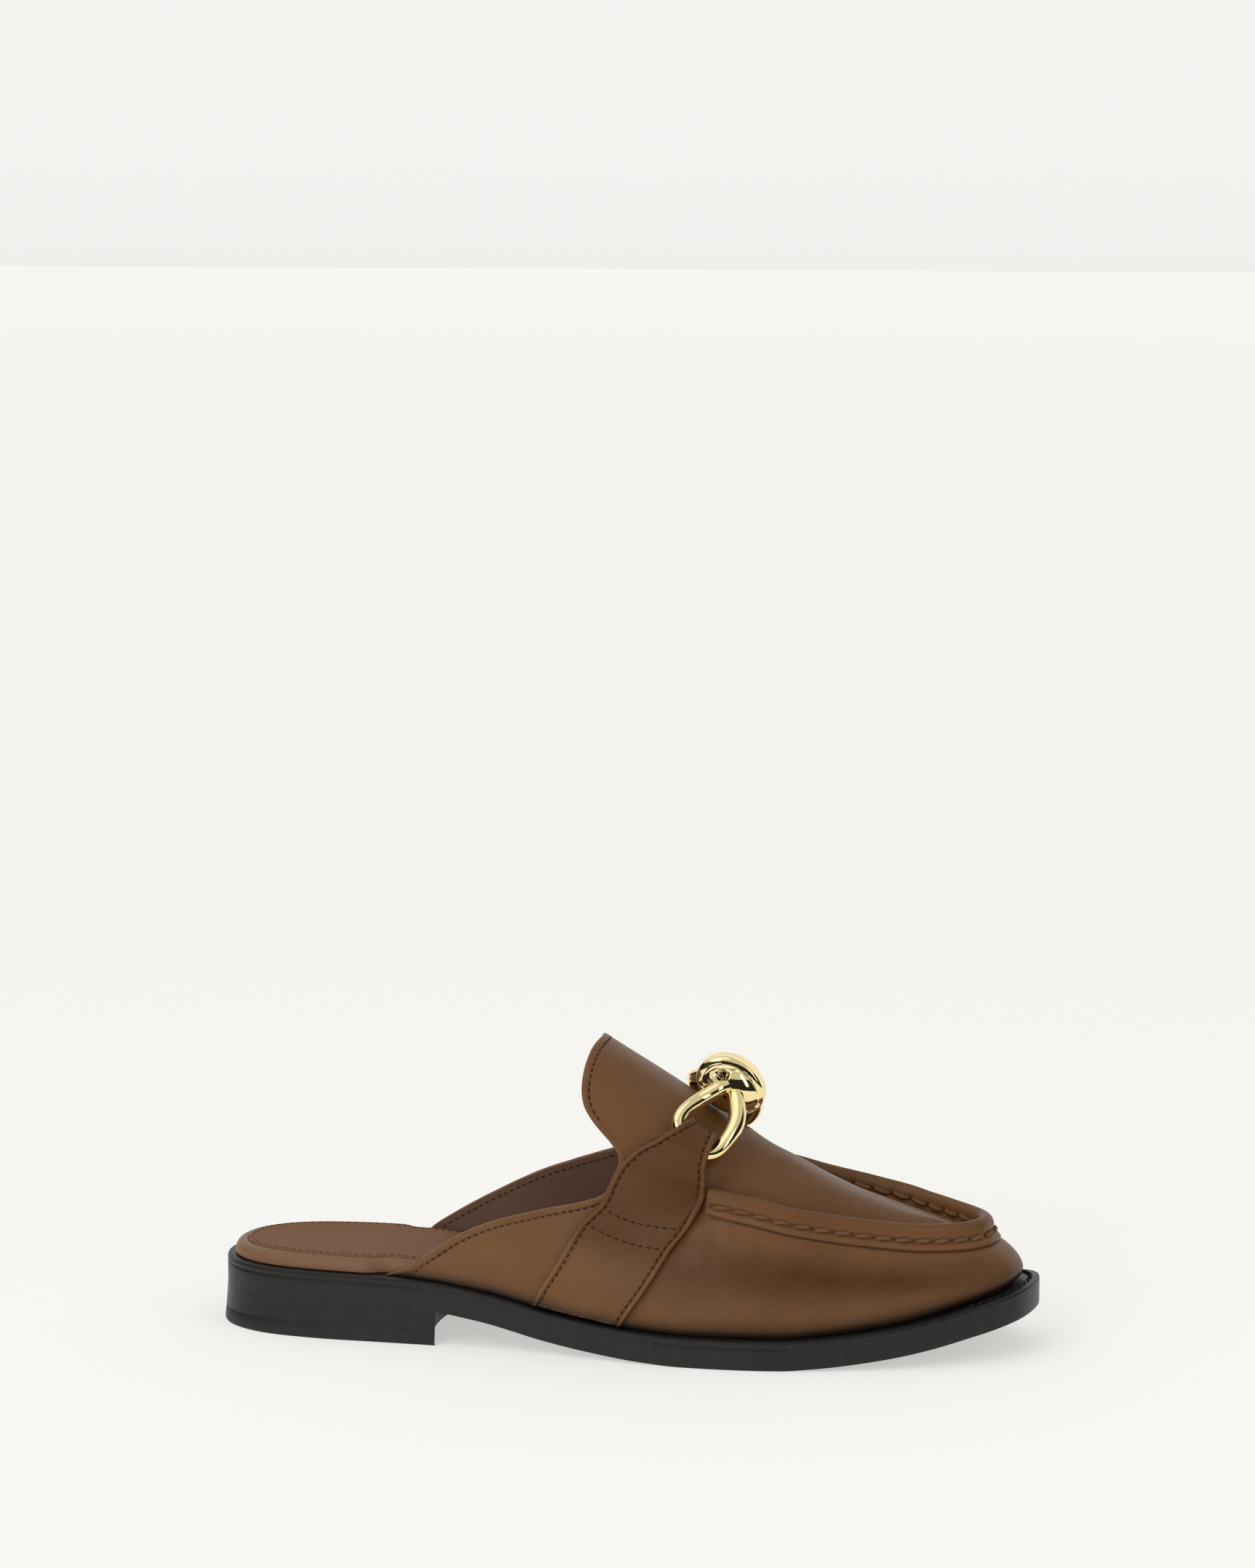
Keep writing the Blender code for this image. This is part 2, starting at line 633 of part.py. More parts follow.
def strap(name, side):
    """Leather band from the welt up to the ring, folded over the ring and back beneath itself."""
    across = (0.0, 0.2, 0.4, 0.6, 0.8, 1.0)
    middle = []
    for share, lift, rear, front in STRAP_ROWS:
        line = []
        for t in across:
            x = rear + (front - rear) * t
            leaned = share - FOLD_SHEAR * (x - FRONT_STATION) * ramp(share, 2.0, 2.2)
            line.append(above_skin(x, leaned, side, lift * STRAP_THICKNESS))
        middle.append(line)
    middle = np.array(middle)
    up, along = np.gradient(middle, axis=0), np.gradient(middle, axis=1)
    normal = np.cross(along, up) * -side
    normal /= np.linalg.norm(normal, axis=2)[:, :, None]
    vertices, faces = [], []
    for layer in (1, -1):
        for r, line in enumerate(middle):
            extra = OVERLAY_STEP if layer > 0 and r in OVERLAY_ROWS else 0.0
            for t, point in enumerate(line):
                vertices.append(point + normal[r, t] * layer * (0.5 * STRAP_THICKNESS + extra))
    high, wide = len(middle), len(across)
    under = high * wide
    for r in range(high - 1):
        for t in range(wide - 1):
            a = r * wide + t
            faces.append((a, a + 1, a + wide + 1, a + wide))
            faces.append((under + a, under + a + wide, under + a + wide + 1, under + a + 1))
    for r in range(high - 1):
        for t in (0, wide - 1):
            a = r * wide + t
            faces.append((a, a + wide, under + a + wide, under + a))
    for t in range(wide - 1):
        for r in (0, high - 1):
            a = r * wide + t
            faces.append((a, a + 1, under + a + 1, under + a))
    return make_object(name, vertices, faces, LEATHER, 0.4)


def knot_axes():
    run = unit(crest(KNOT_STATION + 0.01) - crest(KNOT_STATION - 0.01))
    normal = crest_normal(KNOT_STATION)
    centre = crest(KNOT_STATION) + normal * (0.5 * KNOT_HEIGHT + 2 * GAP)
    return centre, run, normal


def knot_body(sides=22):
    centre, run, normal = knot_axes()
    profile = list(KNOT_ROWS) + [(-place, radius) for place, radius in reversed(KNOT_ROWS[:-1])]
    vertices, faces = [], []
    for place, radius in profile:
        for k in range(sides):
            turn = 2 * math.pi * k / sides
            spoke = run * math.cos(turn) * 0.5 * KNOT_LENGTH + normal * math.sin(turn) * 0.5 * KNOT_HEIGHT
            vertices.append(centre + spoke * radius + np.array([0, -place * 0.5 * KNOT_WIDTH, 0]))
    for r in range(len(profile) - 1):
        for k in range(sides):
            follow = (k + 1) % sides
            faces.append((r * sides + k, r * sides + follow, (r + 1) * sides + follow, (r + 1) * sides + k))
    faces.append(tuple(reversed(range(sides))))
    faces.append(tuple((len(profile) - 1) * sides + k for k in range(sides)))
    return make_object("bit", vertices, faces, GOLD, 0.12, 1.0)


def ring_body(side, sides=8):
    """One ring of round wire with both ends inside the knot."""
    centre, run, normal = knot_axes()
    column = 0 if side < 0 else 1
    points = [above_skin(row[column], row[2], side, row[3] * 2 * WIRE_RADIUS) for row in RING_ROWS]
    reach = np.array([0.0, side * 0.22 * KNOT_WIDTH, 0.0])
    points.insert(0, centre + reach + normal * 0.08 * KNOT_HEIGHT)
    points.append(centre + reach + run * 0.12 * KNOT_LENGTH - normal * 0.08 * KNOT_HEIGHT)
    path = spline(points, 2, False)
    vertices, faces = [], []
    frame = unit(np.cross(path[1] - path[0], normal))
    for k, point in enumerate(path):
        tangent = unit(path[min(k + 1, len(path) - 1)] - path[max(k - 1, 0)])
        frame = unit(frame - tangent * (frame @ tangent))
        other = np.cross(tangent, frame)
        for j in range(sides):
            turn = 2 * math.pi * j / sides
            vertices.append(point + (frame * math.cos(turn) + other * math.sin(turn)) * WIRE_RADIUS)
    for r in range(len(path) - 1):
        for j in range(sides):
            follow = (j + 1) % sides
            faces.append((r * sides + j, r * sides + follow, (r + 1) * sides + follow, (r + 1) * sides + j))
    faces.append(tuple(reversed(range(sides))))
    faces.append(tuple((len(path) - 1) * sides + j for j in range(sides)))
    return make_object("ring", vertices, faces, GOLD, 0.12, 1.0)


def bit():
    """The gold knot with a ring on each side, joined into one body."""
    body = knot_body()
    rings = [ring_body(side) for side in (-1, 1)]
    bpy.context.view_layer.objects.active = body
    for ring in rings:
        join = body.modifiers.new("join", "BOOLEAN")
        join.operation = "UNION"
        join.solver = "EXACT"
        join.use_self = True
        join.object = ring
        bpy.context.view_layer.update()
        shaped = bpy.data.meshes.new_from_object(body.evaluated_get(bpy.context.evaluated_depsgraph_get()))
        body.modifiers.clear()
        body.data = shaped
        bpy.data.objects.remove(ring, do_unlink=True)
    shape = bmesh.new()
    shape.from_mesh(body.data)
    bmesh.ops.remove_doubles(shape, verts=shape.verts, dist=2e-5)
    bmesh.ops.triangulate(shape, faces=shape.faces)
    shape.to_mesh(body.data)
    shape.free()
    return body


def centred(objects):
    """Moves everything so that the box round it stands on the origin."""
    corners = np.array([vert.co[:] for item in objects for vert in item.data.vertices])
    low, high = corners.min(axis=0), corners.max(axis=0)
    shift = Vector((-(low[0] + high[0]) / 2, -(low[1] + high[1]) / 2, -low[2]))
    for item in objects:
        for vert in item.data.vertices:
            vert.co += shift


def main():
    for item in list(bpy.data.objects):
        bpy.data.objects.remove(item, do_unlink=True)
    pieces = [
        outsole(),
        welt(),
        heel_stack(),
        top_lift(),
        footbed(),
        sock(),
        upper(),
        strap("strap_outer", -1),
        strap("strap_inner", 1),
        bit(),
    ]
    centred(pieces)


main()
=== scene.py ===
"""Dresses the backless loafer: creased calf leather, hand-sewn apron seam, stacked sole and gold knot."""
import math

import bmesh
import bpy
import numpy as np
from bpy.props import FloatProperty, FloatVectorProperty, PointerProperty
from mathutils import Matrix, Vector
from mathutils.kdtree import KDTree


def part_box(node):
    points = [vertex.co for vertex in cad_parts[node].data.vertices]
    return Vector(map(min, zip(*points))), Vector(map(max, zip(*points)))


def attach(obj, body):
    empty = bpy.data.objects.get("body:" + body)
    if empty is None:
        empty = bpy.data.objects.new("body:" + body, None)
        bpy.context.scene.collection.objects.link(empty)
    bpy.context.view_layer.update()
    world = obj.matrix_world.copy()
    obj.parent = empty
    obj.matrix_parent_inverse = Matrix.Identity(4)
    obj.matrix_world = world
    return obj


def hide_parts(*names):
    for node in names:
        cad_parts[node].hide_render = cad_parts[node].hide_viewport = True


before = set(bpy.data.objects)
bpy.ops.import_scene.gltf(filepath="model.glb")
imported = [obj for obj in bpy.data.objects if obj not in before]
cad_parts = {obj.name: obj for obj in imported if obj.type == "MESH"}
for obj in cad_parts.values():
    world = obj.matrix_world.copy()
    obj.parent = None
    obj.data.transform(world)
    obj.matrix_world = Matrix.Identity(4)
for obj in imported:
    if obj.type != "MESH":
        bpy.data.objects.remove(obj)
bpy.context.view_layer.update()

bl_info = {
    "name": "Backless Loafer",
    "version": (1, 0, 0),
    "blender": (4, 5, 0),
    "location": "3D View > Sidebar > Loafer",
    "description": "Builds the looks of a backless leather loafer round its solids",
    "category": "Object",
}

# Sizes shared with the solids, in metres
LENGTH = 0.268
BALL_WIDTH = 0.092
SEAT_HEIGHT = 0.0125
SOLE_EDGE = 0.0095
TONGUE_HEIGHT = 0.0975
WALL = 0.0020
ROLL = 0.0050
GAP = 0.0003
WELT_THICKNESS = 0.0022
WELT_WIDTH = 0.0105
LIFT_THICKNESS = 0.0048
HEEL_FLARE = 0.0010
FOOTBED_RIM = 0.0026
FOOTBED_TOP = 0.0040
SOCK_TOP = 0.0050
SOCK_MARGIN = 0.0042
STRAP_THICKNESS = 0.0016
OVERLAY_STEP = 0.0006
WIRE_RADIUS = 0.0021
KNOT_LENGTH = 0.0236
KNOT_HEIGHT = 0.0182
KNOT_WIDTH = 0.0200

# Sole outline: share of the length, outer and inner reach as shares of the ball width
OUTLINE_ROWS = (
    (0.0000, 0.0000, 0.0000), (0.0082, 0.1228, 0.1228), (0.0299, 0.2109, 0.2109), (0.0690, 0.2815, 0.2815),
    (0.1343, 0.3228, 0.3239), (0.2239, 0.3370, 0.3326), (0.2910, 0.3467, 0.3217), (0.3545, 0.3620, 0.3076),
    (0.4104, 0.3880, 0.3065), (0.4664, 0.4239, 0.3283), (0.5224, 0.4587, 0.3717), (0.5784, 0.4837, 0.4261),
    (0.6343, 0.4924, 0.4728), (0.6903, 0.4848, 0.5033), (0.7463, 0.4576, 0.5109), (0.8060, 0.4130, 0.4967),
    (0.8657, 0.3543, 0.4565), (0.9198, 0.2761, 0.3739), (0.9619, 0.1978, 0.2826), (0.9881, 0.1043, 0.1848),
    (1.0000, -0.0543, 0.0543),
)

# Underside of the outsole: share of the length, height as a share of the seat height
UNDERSIDE_ROWS = (
    (0.0000, 1.000), (0.2239, 0.952), (0.2873, 0.864), (0.3284, 0.736), (0.3545, 0.640), (0.3843, 0.504),
    (0.4142, 0.368), (0.4739, 0.184), (0.5485, 0.040), (0.5970, 0.000), (0.7090, 0.000), (0.7575, 0.060),
    (0.7985, 0.152), (0.8433, 0.288), (0.8881, 0.472), (0.9291, 0.688), (0.9739, 0.936), (1.0000, 1.104),
)

# Crest of the tongue and apron: share of the length, height as a share of the tongue height
CREST_ROWS = (
    (0.3582, 1.1897), (0.4142, 1.0974), (0.4720, 1.0000), (0.5668, 0.8441), (0.6403, 0.7108), (0.6978, 0.6195),
    (0.7384, 0.5610), (0.7780, 0.5087), (0.8049, 0.4810), (0.8396, 0.4503), (0.8694, 0.4297), (0.8955, 0.4164),
)

# Apron seam: station, inset, height on the outer side, extra height on the inner side, lean of the wall
# in degrees, and the station where the rib ends on the crest
SEAM_ROWS = (
    (0.2164, 0.0435, 0.9231, 0.0205, 2, 0.3731), (0.3545, 0.0435, 0.8205, 0.0205, 3, 0.4366),
    (0.4142, 0.0370, 0.7426, 0.0205, 5, 0.4720), (0.4683, 0.0609, 0.6513, 0.0205, 7, 0.5261),
    (0.5261, 0.0967, 0.5600, 0.0205, 10, 0.5840), (0.5784, 0.1348, 0.5292, 0.0205, 22, 0.6250),
    (0.6269, 0.1663, 0.5128, 0.0185, 36, 0.6604), (0.6791, 0.1685, 0.4872, 0.0164, 42, 0.6989),
    (0.7276, 0.1685, 0.4574, 0.0164, 46, 0.7351), (0.7799, 0.1685, 0.4328, 0.0164, 50, 0.7724),
    (0.8396, 0.1685, 0.4092, 0.0144, 54, 0.8097), (0.8955, 0.1696, 0.3918, 0.0103, 57, 0.8377),
    (0.9440, 0.1783, 0.3856, 0.0051, 60, 0.8582), (0.9813, 0.1880, 0.3877, 0.0010, 61, 0.8675),
    (1.0000, 0.1902, 0.3887, 0.0000, 61, 0.8694),
)
SEAM_COLUMNS = {"inset": 1, "outer": 2, "extra": 3, "lean": 4, "crest": 5}

# Line where the upper stands on the welt: share of the length, inset as a share of the ball width
FEATHER_ROWS = (
    (0.2164, 0.0283), (0.5261, 0.0370), (0.7463, 0.0435), (0.9067, 0.0565), (0.9701, 0.0630), (1.0000, 0.0630),
)

# Section through the apron seam, outside to inside: inset and height as shares of the roll height
SEAM_SECTION = (
    (-0.90, -0.66), (-0.98, -0.46), (-0.54, -0.04), (-0.55, 0.32), (-0.38, 0.78), (0.00, 1.00),
    (0.38, 0.78), (0.55, 0.32), (0.52, -0.08), (0.84, -0.12), (0.88, -0.26),
)
RELIEF_FROM, RELIEF_TO, RELIEF_SLOW = 0.6085, 0.6165, 0.6480
FRONT_STATION = 0.560

# Back edge of the upper: share up the rib, stations on the outer and the inner side
BACK_ROWS = (
    (0.00, 0.2250, 0.2220), (0.04, 0.2500, 0.2313), (0.10, 0.2668, 0.2463), (0.17, 0.2854, 0.2705),
    (0.25, 0.3034, 0.2948), (0.33, 0.3235, 0.3153), (0.42, 0.3507, 0.3433), (0.50, 0.3769, 0.3627),
    (0.60, 0.4060, 0.3899), (0.70, 0.4340, 0.4198), (0.80, 0.4608, 0.4440), (0.90, 0.4851, 0.4664),
    (1.00, 0.5000, 0.4888), (1.50, 0.5067, 0.5019), (2.00, 0.5067, 0.5045), (2.08, 0.5000, 0.5000),
    (2.12, 0.4869, 0.4869), (2.16, 0.4683, 0.4683), (2.22, 0.4500, 0.4500), (2.30, 0.4388, 0.4388),
    (2.42, 0.4295, 0.4295), (2.56, 0.4224, 0.4224), (2.78, 0.4160, 0.4160), (3.00, 0.4142, 0.4142),
)

# Strap: share up the rib, lift as a share of its thickness, stations of its rear and front edges
STRAP_ROWS = (
    (0.030, 0.82, 0.4078, 0.5205), (0.180, 0.82, 0.4226, 0.5340), (0.340, 0.82, 0.4384, 0.5485),
    (0.500, 0.82, 0.4512, 0.5613), (0.700, 0.82, 0.4672, 0.5772),
    (0.900, 0.82, 0.4888, 0.5978), (1.500, 0.82, 0.5000, 0.6131), (2.000, 0.90, 0.5056, 0.6090),
    (2.080, 1.20, 0.5075, 0.6045), (2.150, 2.00, 0.5119, 0.6000), (2.200, 3.12, 0.5175, 0.5940),
    (2.250, 4.60, 0.5235, 0.5885), (2.315, 5.30, 0.5310, 0.5845), (2.385, 5.10, 0.5366, 0.5825),
    (2.445, 4.10, 0.5403, 0.5810), (2.485, 2.80, 0.5429, 0.5785), (2.465, 1.60, 0.5429, 0.5775),
    (2.410, 0.98, 0.5410, 0.5775), (2.330, 0.82, 0.5392, 0.5775), (2.260, 0.82, 0.5392, 0.5775),
)
# Rows between which the upper band lies, distance between its two rows of thread, and steps from row to row
OVERLAY_FROM, OVERLAY_TO, OVERLAY_ROWS, STRAP_STEPS = 4, 14, 0.0068, 10
FOLD_SHEAR = 1.07

# Ring: stations on the outer and the inner side, share up the rib, lift as a share of the wire's diameter
RING_ROWS = (
    (0.5504, 0.5448, 2.83, 2.71), (0.5373, 0.5205, 2.71, 1.64), (0.5291, 0.5110, 2.58, 1.38),
    (0.5272, 0.5190, 2.49, 1.25), (0.5336, 0.5320, 2.41, 1.10), (0.5515, 0.5515, 2.35, 1.07),
    (0.5701, 0.5701, 2.31, 1.08), (0.5880, 0.5880, 2.28, 1.17), (0.5950, 0.5950, 2.32, 1.33),
    (0.5963, 0.5963, 2.42, 1.50), (0.5963, 0.5963, 2.53, 1.81), (0.5888, 0.5888, 2.67, 2.19),
    (0.5765, 0.5765, 2.76, 2.43), (0.5653, 0.5653, 2.84, 2.60),
)
# Thickness of the wire along the ring, thinner inside the strap's fold
WIRE_SWELL = ((0.00, 1.24), (0.22, 1.22), (0.32, 1.04), (0.55, 1.04), (0.68, 1.24), (0.85, 1.36), (1.00, 1.28))
INNER_RING_DROP = 0.84
KNOT_STATION = 0.6063
HEEL_BREAST = 0.287
BREAST_HOLLOW = 0.0060
# Shares up the ribs of the two rows of hand stitches, and distance of the fine rows from the edge
STITCH_LINES, EDGE_ROW = (1.2, 1.72), 0.0018

# The photograph's camera, measured from the heel
PHOTO_SIZE = (1725, 2156)
CAMERA_TARGET = (0.136, 0.0, 0.035)
TARGET_PIXEL = (871.6, 1684.8)
CAMERA_DISTANCE = 1.570
CAMERA_TURN, CAMERA_LIFT = 11.0, 13.0
PIXELS_PER_METRE = 4200
SENSOR = 36.0


def smooth(x, rows, column):
    """Values of one table column at shares x, on a curve that never overshoots its rows."""
    xs = np.array([row[0] for row in rows], float)
    ys = np.array([row[column] for row in rows], float)
    step = np.diff(xs)
    slope = np.diff(ys) / step
    tangent = np.zeros(len(xs))
    tangent[0], tangent[-1] = slope[0], slope[-1]
    for k in range(1, len(xs) - 1):
        if slope[k - 1] * slope[k] > 0:
            w1, w2 = 2 * step[k] + step[k - 1], step[k] + 2 * step[k - 1]
            tangent[k] = (w1 + w2) / (w1 / slope[k - 1] + w2 / slope[k])
    x = np.clip(np.asarray(x, float), xs[0], xs[-1])
    k = np.clip(np.searchsorted(xs, x, side="right") - 1, 0, len(xs) - 2)
    t = (x - xs[k]) / step[k]
    rise = (2 * t ** 3 - 3 * t ** 2 + 1) * ys[k] + (3 * t ** 2 - 2 * t ** 3) * ys[k + 1]
    bend = (t ** 3 - 2 * t ** 2 + t) * tangent[k] + (t ** 3 - t ** 2) * tangent[k + 1]
    return rise + bend * step[k]


def ramp(x, start, end):
    t = np.clip((np.asarray(x, float) - start) / (end - start), 0.0, 1.0)
    return t * t * (3 - 2 * t)


def unit(vectors):
    return vectors / np.maximum(np.linalg.norm(vectors, axis=-1, keepdims=True), 1e-12)


def travelled(path):
    """Distance along a path at each of its points."""
    return np.concatenate([[0], np.cumsum(np.linalg.norm(np.diff(path, axis=0), axis=1))])


def at_distance(goal, travel, points):
    """Points at given distances along a path."""
    return np.stack([np.interp(goal, travel, points[:, k]) for k in range(points.shape[1])], -1)


def spline(points, per_span, closed=False):
    """Centripetal curve through the points."""
    points = np.asarray(points, float)
    if closed:
        padded = np.vstack([points[-1], points, points[:2]])
    else:
        padded = np.vstack([2 * points[0] - points[1], points, 2 * points[-1] - points[-2]])
    t = (np.arange(per_span) / per_span)[:, None]
    result = []
    for k in range(len(padded) - 3):
        a, b, c, d = padded[k:k + 4]
        ta = np.linalg.norm(b - a) ** 0.5
        tb = ta + np.linalg.norm(c - b) ** 0.5
        tc = tb + np.linalg.norm(d - c) ** 0.5
        s = ta + (tb - ta) * t
        ab = (ta - s) / ta * a + s / ta * b
        bc = (tb - s) / (tb - ta) * b + (s - ta) / (tb - ta) * c
        cd = (tc - s) / (tc - tb) * c + (s - tb) / (tc - tb) * d
        abc = (tb - s) / tb * ab + s / tb * bc
        bcd = (tc - s) / (tc - ta) * bc + (s - ta) / (tc - ta) * cd
        result.append((tb - s) / (tb - ta) * abc + (s - ta) / (tb - ta) * bcd)
    if not closed:
        result.append(points[-1:])
    return np.vstack(result)


def sole_outline():
    outer = [(x * LENGTH, -reach * BALL_WIDTH) for x, reach, _ in OUTLINE_ROWS]
    inner = [(x * LENGTH, reach * BALL_WIDTH) for x, _, reach in OUTLINE_ROWS[-2:0:-1]]
    loop = spline(outer + inner, 24, True)
    loop[:, 0] *= LENGTH / loop[:, 0].max()
    return loop


OUTLINE = sole_outline()
OUTLINE_LOOP = np.vstack([OUTLINE, OUTLINE[:1]])
RUN = np.roll(OUTLINE, -1, 0) - np.roll(OUTLINE, 1, 0)
INWARD = unit(np.stack([-RUN[:, 1], RUN[:, 0]], 1))
INWARD_LOOP = np.vstack([INWARD, INWARD[:1]])
TOE = int(np.argmax(OUTLINE[:, 0]))
INDEX = np.arange(len(OUTLINE_LOOP))

# The solids stand centred on the origin; everything below is worked out from the heel and moved by this
SOLE_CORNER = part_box("outsole")[0]
SHIFT = np.array([SOLE_CORNER[0] - OUTLINE[:, 0].min(), SOLE_CORNER[1] - OUTLINE[:, 1].min(), 0.0])


def outline_index(x, side):
    """Place along the outline of the station at share x on one side."""
    if side < 0:
        return np.interp(np.asarray(x) * LENGTH, OUTLINE_LOOP[:TOE + 1, 0], INDEX[:TOE + 1])
    return np.interp(np.asarray(x) * LENGTH, OUTLINE_LOOP[TOE:, 0][::-1], INDEX[TOE:][::-1])


def around(where, inset):
    """Points at places along the outline, moved inward by the inset."""
    where = np.asarray(where, float)
    inward = unit(at_distance(where, INDEX, INWARD_LOOP))
    return at_distance(where, INDEX, OUTLINE_LOOP) + inward * np.asarray(inset, float)[..., None]


def underside(x):
    return smooth(np.asarray(x) / LENGTH, UNDERSIDE_ROWS, 1) * SEAT_HEIGHT


def sole_top(x):
    return underside(x) + SOLE_EDGE


def feather_inset(x):
    return smooth(x, FEATHER_ROWS, 1) * BALL_WIDTH


def crest(x):
    x = np.asarray(x, float)
    return np.stack([x * LENGTH, 0 * x, smooth(x, CREST_ROWS, 1) * TONGUE_HEIGHT], -1)


def crest_normal(x):
    run = crest(np.asarray(x) + 0.008) - crest(np.asarray(x) - 0.008)
    return unit(np.stack([-run[..., 2], 0 * run[..., 0], run[..., 0]], -1))


SECTION = spline(np.array(SEAM_SECTION) * ROLL, 4)


def seam_point(share, lean, relief, depth):
    """Inset and height from the seam's own place, at a share from 0 to 1 through its section."""
    inward = np.stack([np.cos(lean), -np.sin(lean)], -1)
    run = np.stack([np.sin(lean), np.cos(lean)], -1)
    plain = run * ((-0.90 + 1.74 * share) * ROLL)[..., None] + inward * depth
    place = share * (len(SECTION) - 1)
    if depth:
        chord = SECTION[0] + (SECTION[-1] - SECTION[0]) * share[..., None]
        level = unit(SECTION[-1] - SECTION[0])
        below = np.array([level[1], -level[0]])
        shaped = chord + unit(inward * (1 - share)[..., None] + below * (0.15 + share)[..., None]) * depth
    else:
        shaped = at_distance(place, np.arange(len(SECTION)), SECTION)
    return plain * (1 - relief)[..., None] + shaped * relief[..., None]


def skin(x, share, side, depth=0.0, seam=1.0):
    """Points of the upper on the ribs at shares x of the length, measured from the heel.

    The share runs 0 to 1 up the side wall, 1 to 2 through the seam and 2 to 3 over the apron to its crest.
    """
    x, share = np.broadcast_arrays(np.asarray(x, float), np.asarray(share, float))
    row = {name: smooth(x, SEAM_ROWS, column) for name, column in SEAM_COLUMNS.items()}
    where = outline_index(x, side)
    ground = around(where, np.zeros_like(x))
    height = (row["outer"] + (row["extra"] if side > 0 else 0.0)) * TONGUE_HEIGHT
    place = np.stack([row["inset"] * BALL_WIDTH, height], -1)
    slow = ramp(x, RELIEF_FROM, RELIEF_SLOW) * seam
    relief = slow + (ramp(x, RELIEF_FROM, RELIEF_TO) * seam - slow) * ramp(share, 1.02, 1.2)
    lean = np.radians(row["lean"])
    zero = np.zeros_like(x)
    foot = np.stack([feather_inset(x), sole_top(ground[..., 0]) + GAP], -1)
    head = place + seam_point(zero, lean, slow, 0.0)
    rise = head[..., 1] - foot[..., 1]
    belly = 0.09 + 0.10 * ramp(x, 0.86, 1.0)
    low = foot + np.stack([-np.minimum(0.0028, belly * rise), 0.33 * rise], -1)
    high = head - (0.42 * rise)[..., None] * np.stack([np.sin(lean), np.cos(lean)], -1)
    t = np.clip(share, 0, 1)[..., None]
    wall = (1 - t) ** 3 * foot + 3 * (1 - t) ** 2 * t * low + 3 * (1 - t) * t * t * high + t ** 3 * head
    run = (1 - t) ** 2 * (low - foot) + 2 * (1 - t) * t * (high - low) + t * t * (head - high)
    inward = unit(np.stack([run[..., 1], -run[..., 0]], -1))
    inward = np.where(t < 1e-9, np.array([1.0, 0.0]), inward)
    if depth:
        joined = unit(seam_point(zero, lean, slow, depth) - seam_point(zero, lean, slow, 0.0))
        late = ramp(t, 0.7, 1.0)
        inward = unit(inward * (1 - late) + joined * late)
    wall = wall + inward * depth
    ridge = place + seam_point(np.clip(share - 1, 0, 1), lean, relief, depth)
    flat = np.where(share[..., None] <= 1, wall, ridge)
    across = around(where, flat[..., 0])
    edge = np.concatenate([across, flat[..., 1:]], -1)
    normal = crest_normal(row["crest"])
    top = crest(row["crest"]) - normal * depth
    reach = edge - top
    drop = np.sum(reach * normal, -1)
    level = reach - drop[..., None] * normal
    width, fall = np.linalg.norm(level, axis=-1), np.maximum(-drop, 1e-5)
    radius = (width * width + fall * fall) / (2 * fall)
    full = np.arctan2(width, radius - fall)
    turn = (3 - np.clip(share, 2, 3)) * full
    out, down = np.sin(turn) / np.sin(full), (1 - np.cos(turn)) / (1 - np.cos(full))
    apron = top + level * out[..., None] + normal * (drop * down)[..., None]
    return np.where(share[..., None] > 2, apron, edge)


def skin_normal(x, share, side, seam=1.0):
    x, share = np.broadcast_arrays(np.asarray(x, float), np.asarray(share, float))
    along = skin(x + 0.004, share, side, 0.0, seam) - skin(x - 0.004, share, side, 0.0, seam)
    up = skin(x, np.minimum(share + 0.01, 3.0), side, 0.0, seam)
    up = up - skin(x, np.maximum(share - 0.01, 0.0), side, 0.0, seam)
    return unit(np.cross(along, up)) * -side


def back_station(share, side):
    column = 1 if side < 0 else 2
    share = np.asarray(share, float)
    eased = sum(smooth(share + step, BACK_ROWS, column) for step in (-0.09, -0.045, 0, 0.045, 0.09)) / 5
    level = ramp(share, 0.05, 0.14) * (1 - ramp(share, 0.95, 1.1))
    return smooth(share, BACK_ROWS, column) * (1 - level) + eased * level


def resample(path, step=None, count=None):
    """Points at even steps along a path."""
    path = np.asarray(path, float)
    travel = travelled(path)
    if count is None:
        count = max(2, int(round(travel[-1] / step)) + 1)
    return at_distance(np.linspace(0, travel[-1], count), travel, path)


def in_scene(name, data):
    made = bpy.data.objects.new(name, data)
    bpy.context.scene.collection.objects.link(made)
    return made


def from_shape(name, shape):
    """Object in the scene with the finished mesh; the working mesh is given up."""
    mesh = bpy.data.meshes.new(name)
    shape.to_mesh(mesh)
    shape.free()
    return in_scene(name, mesh)


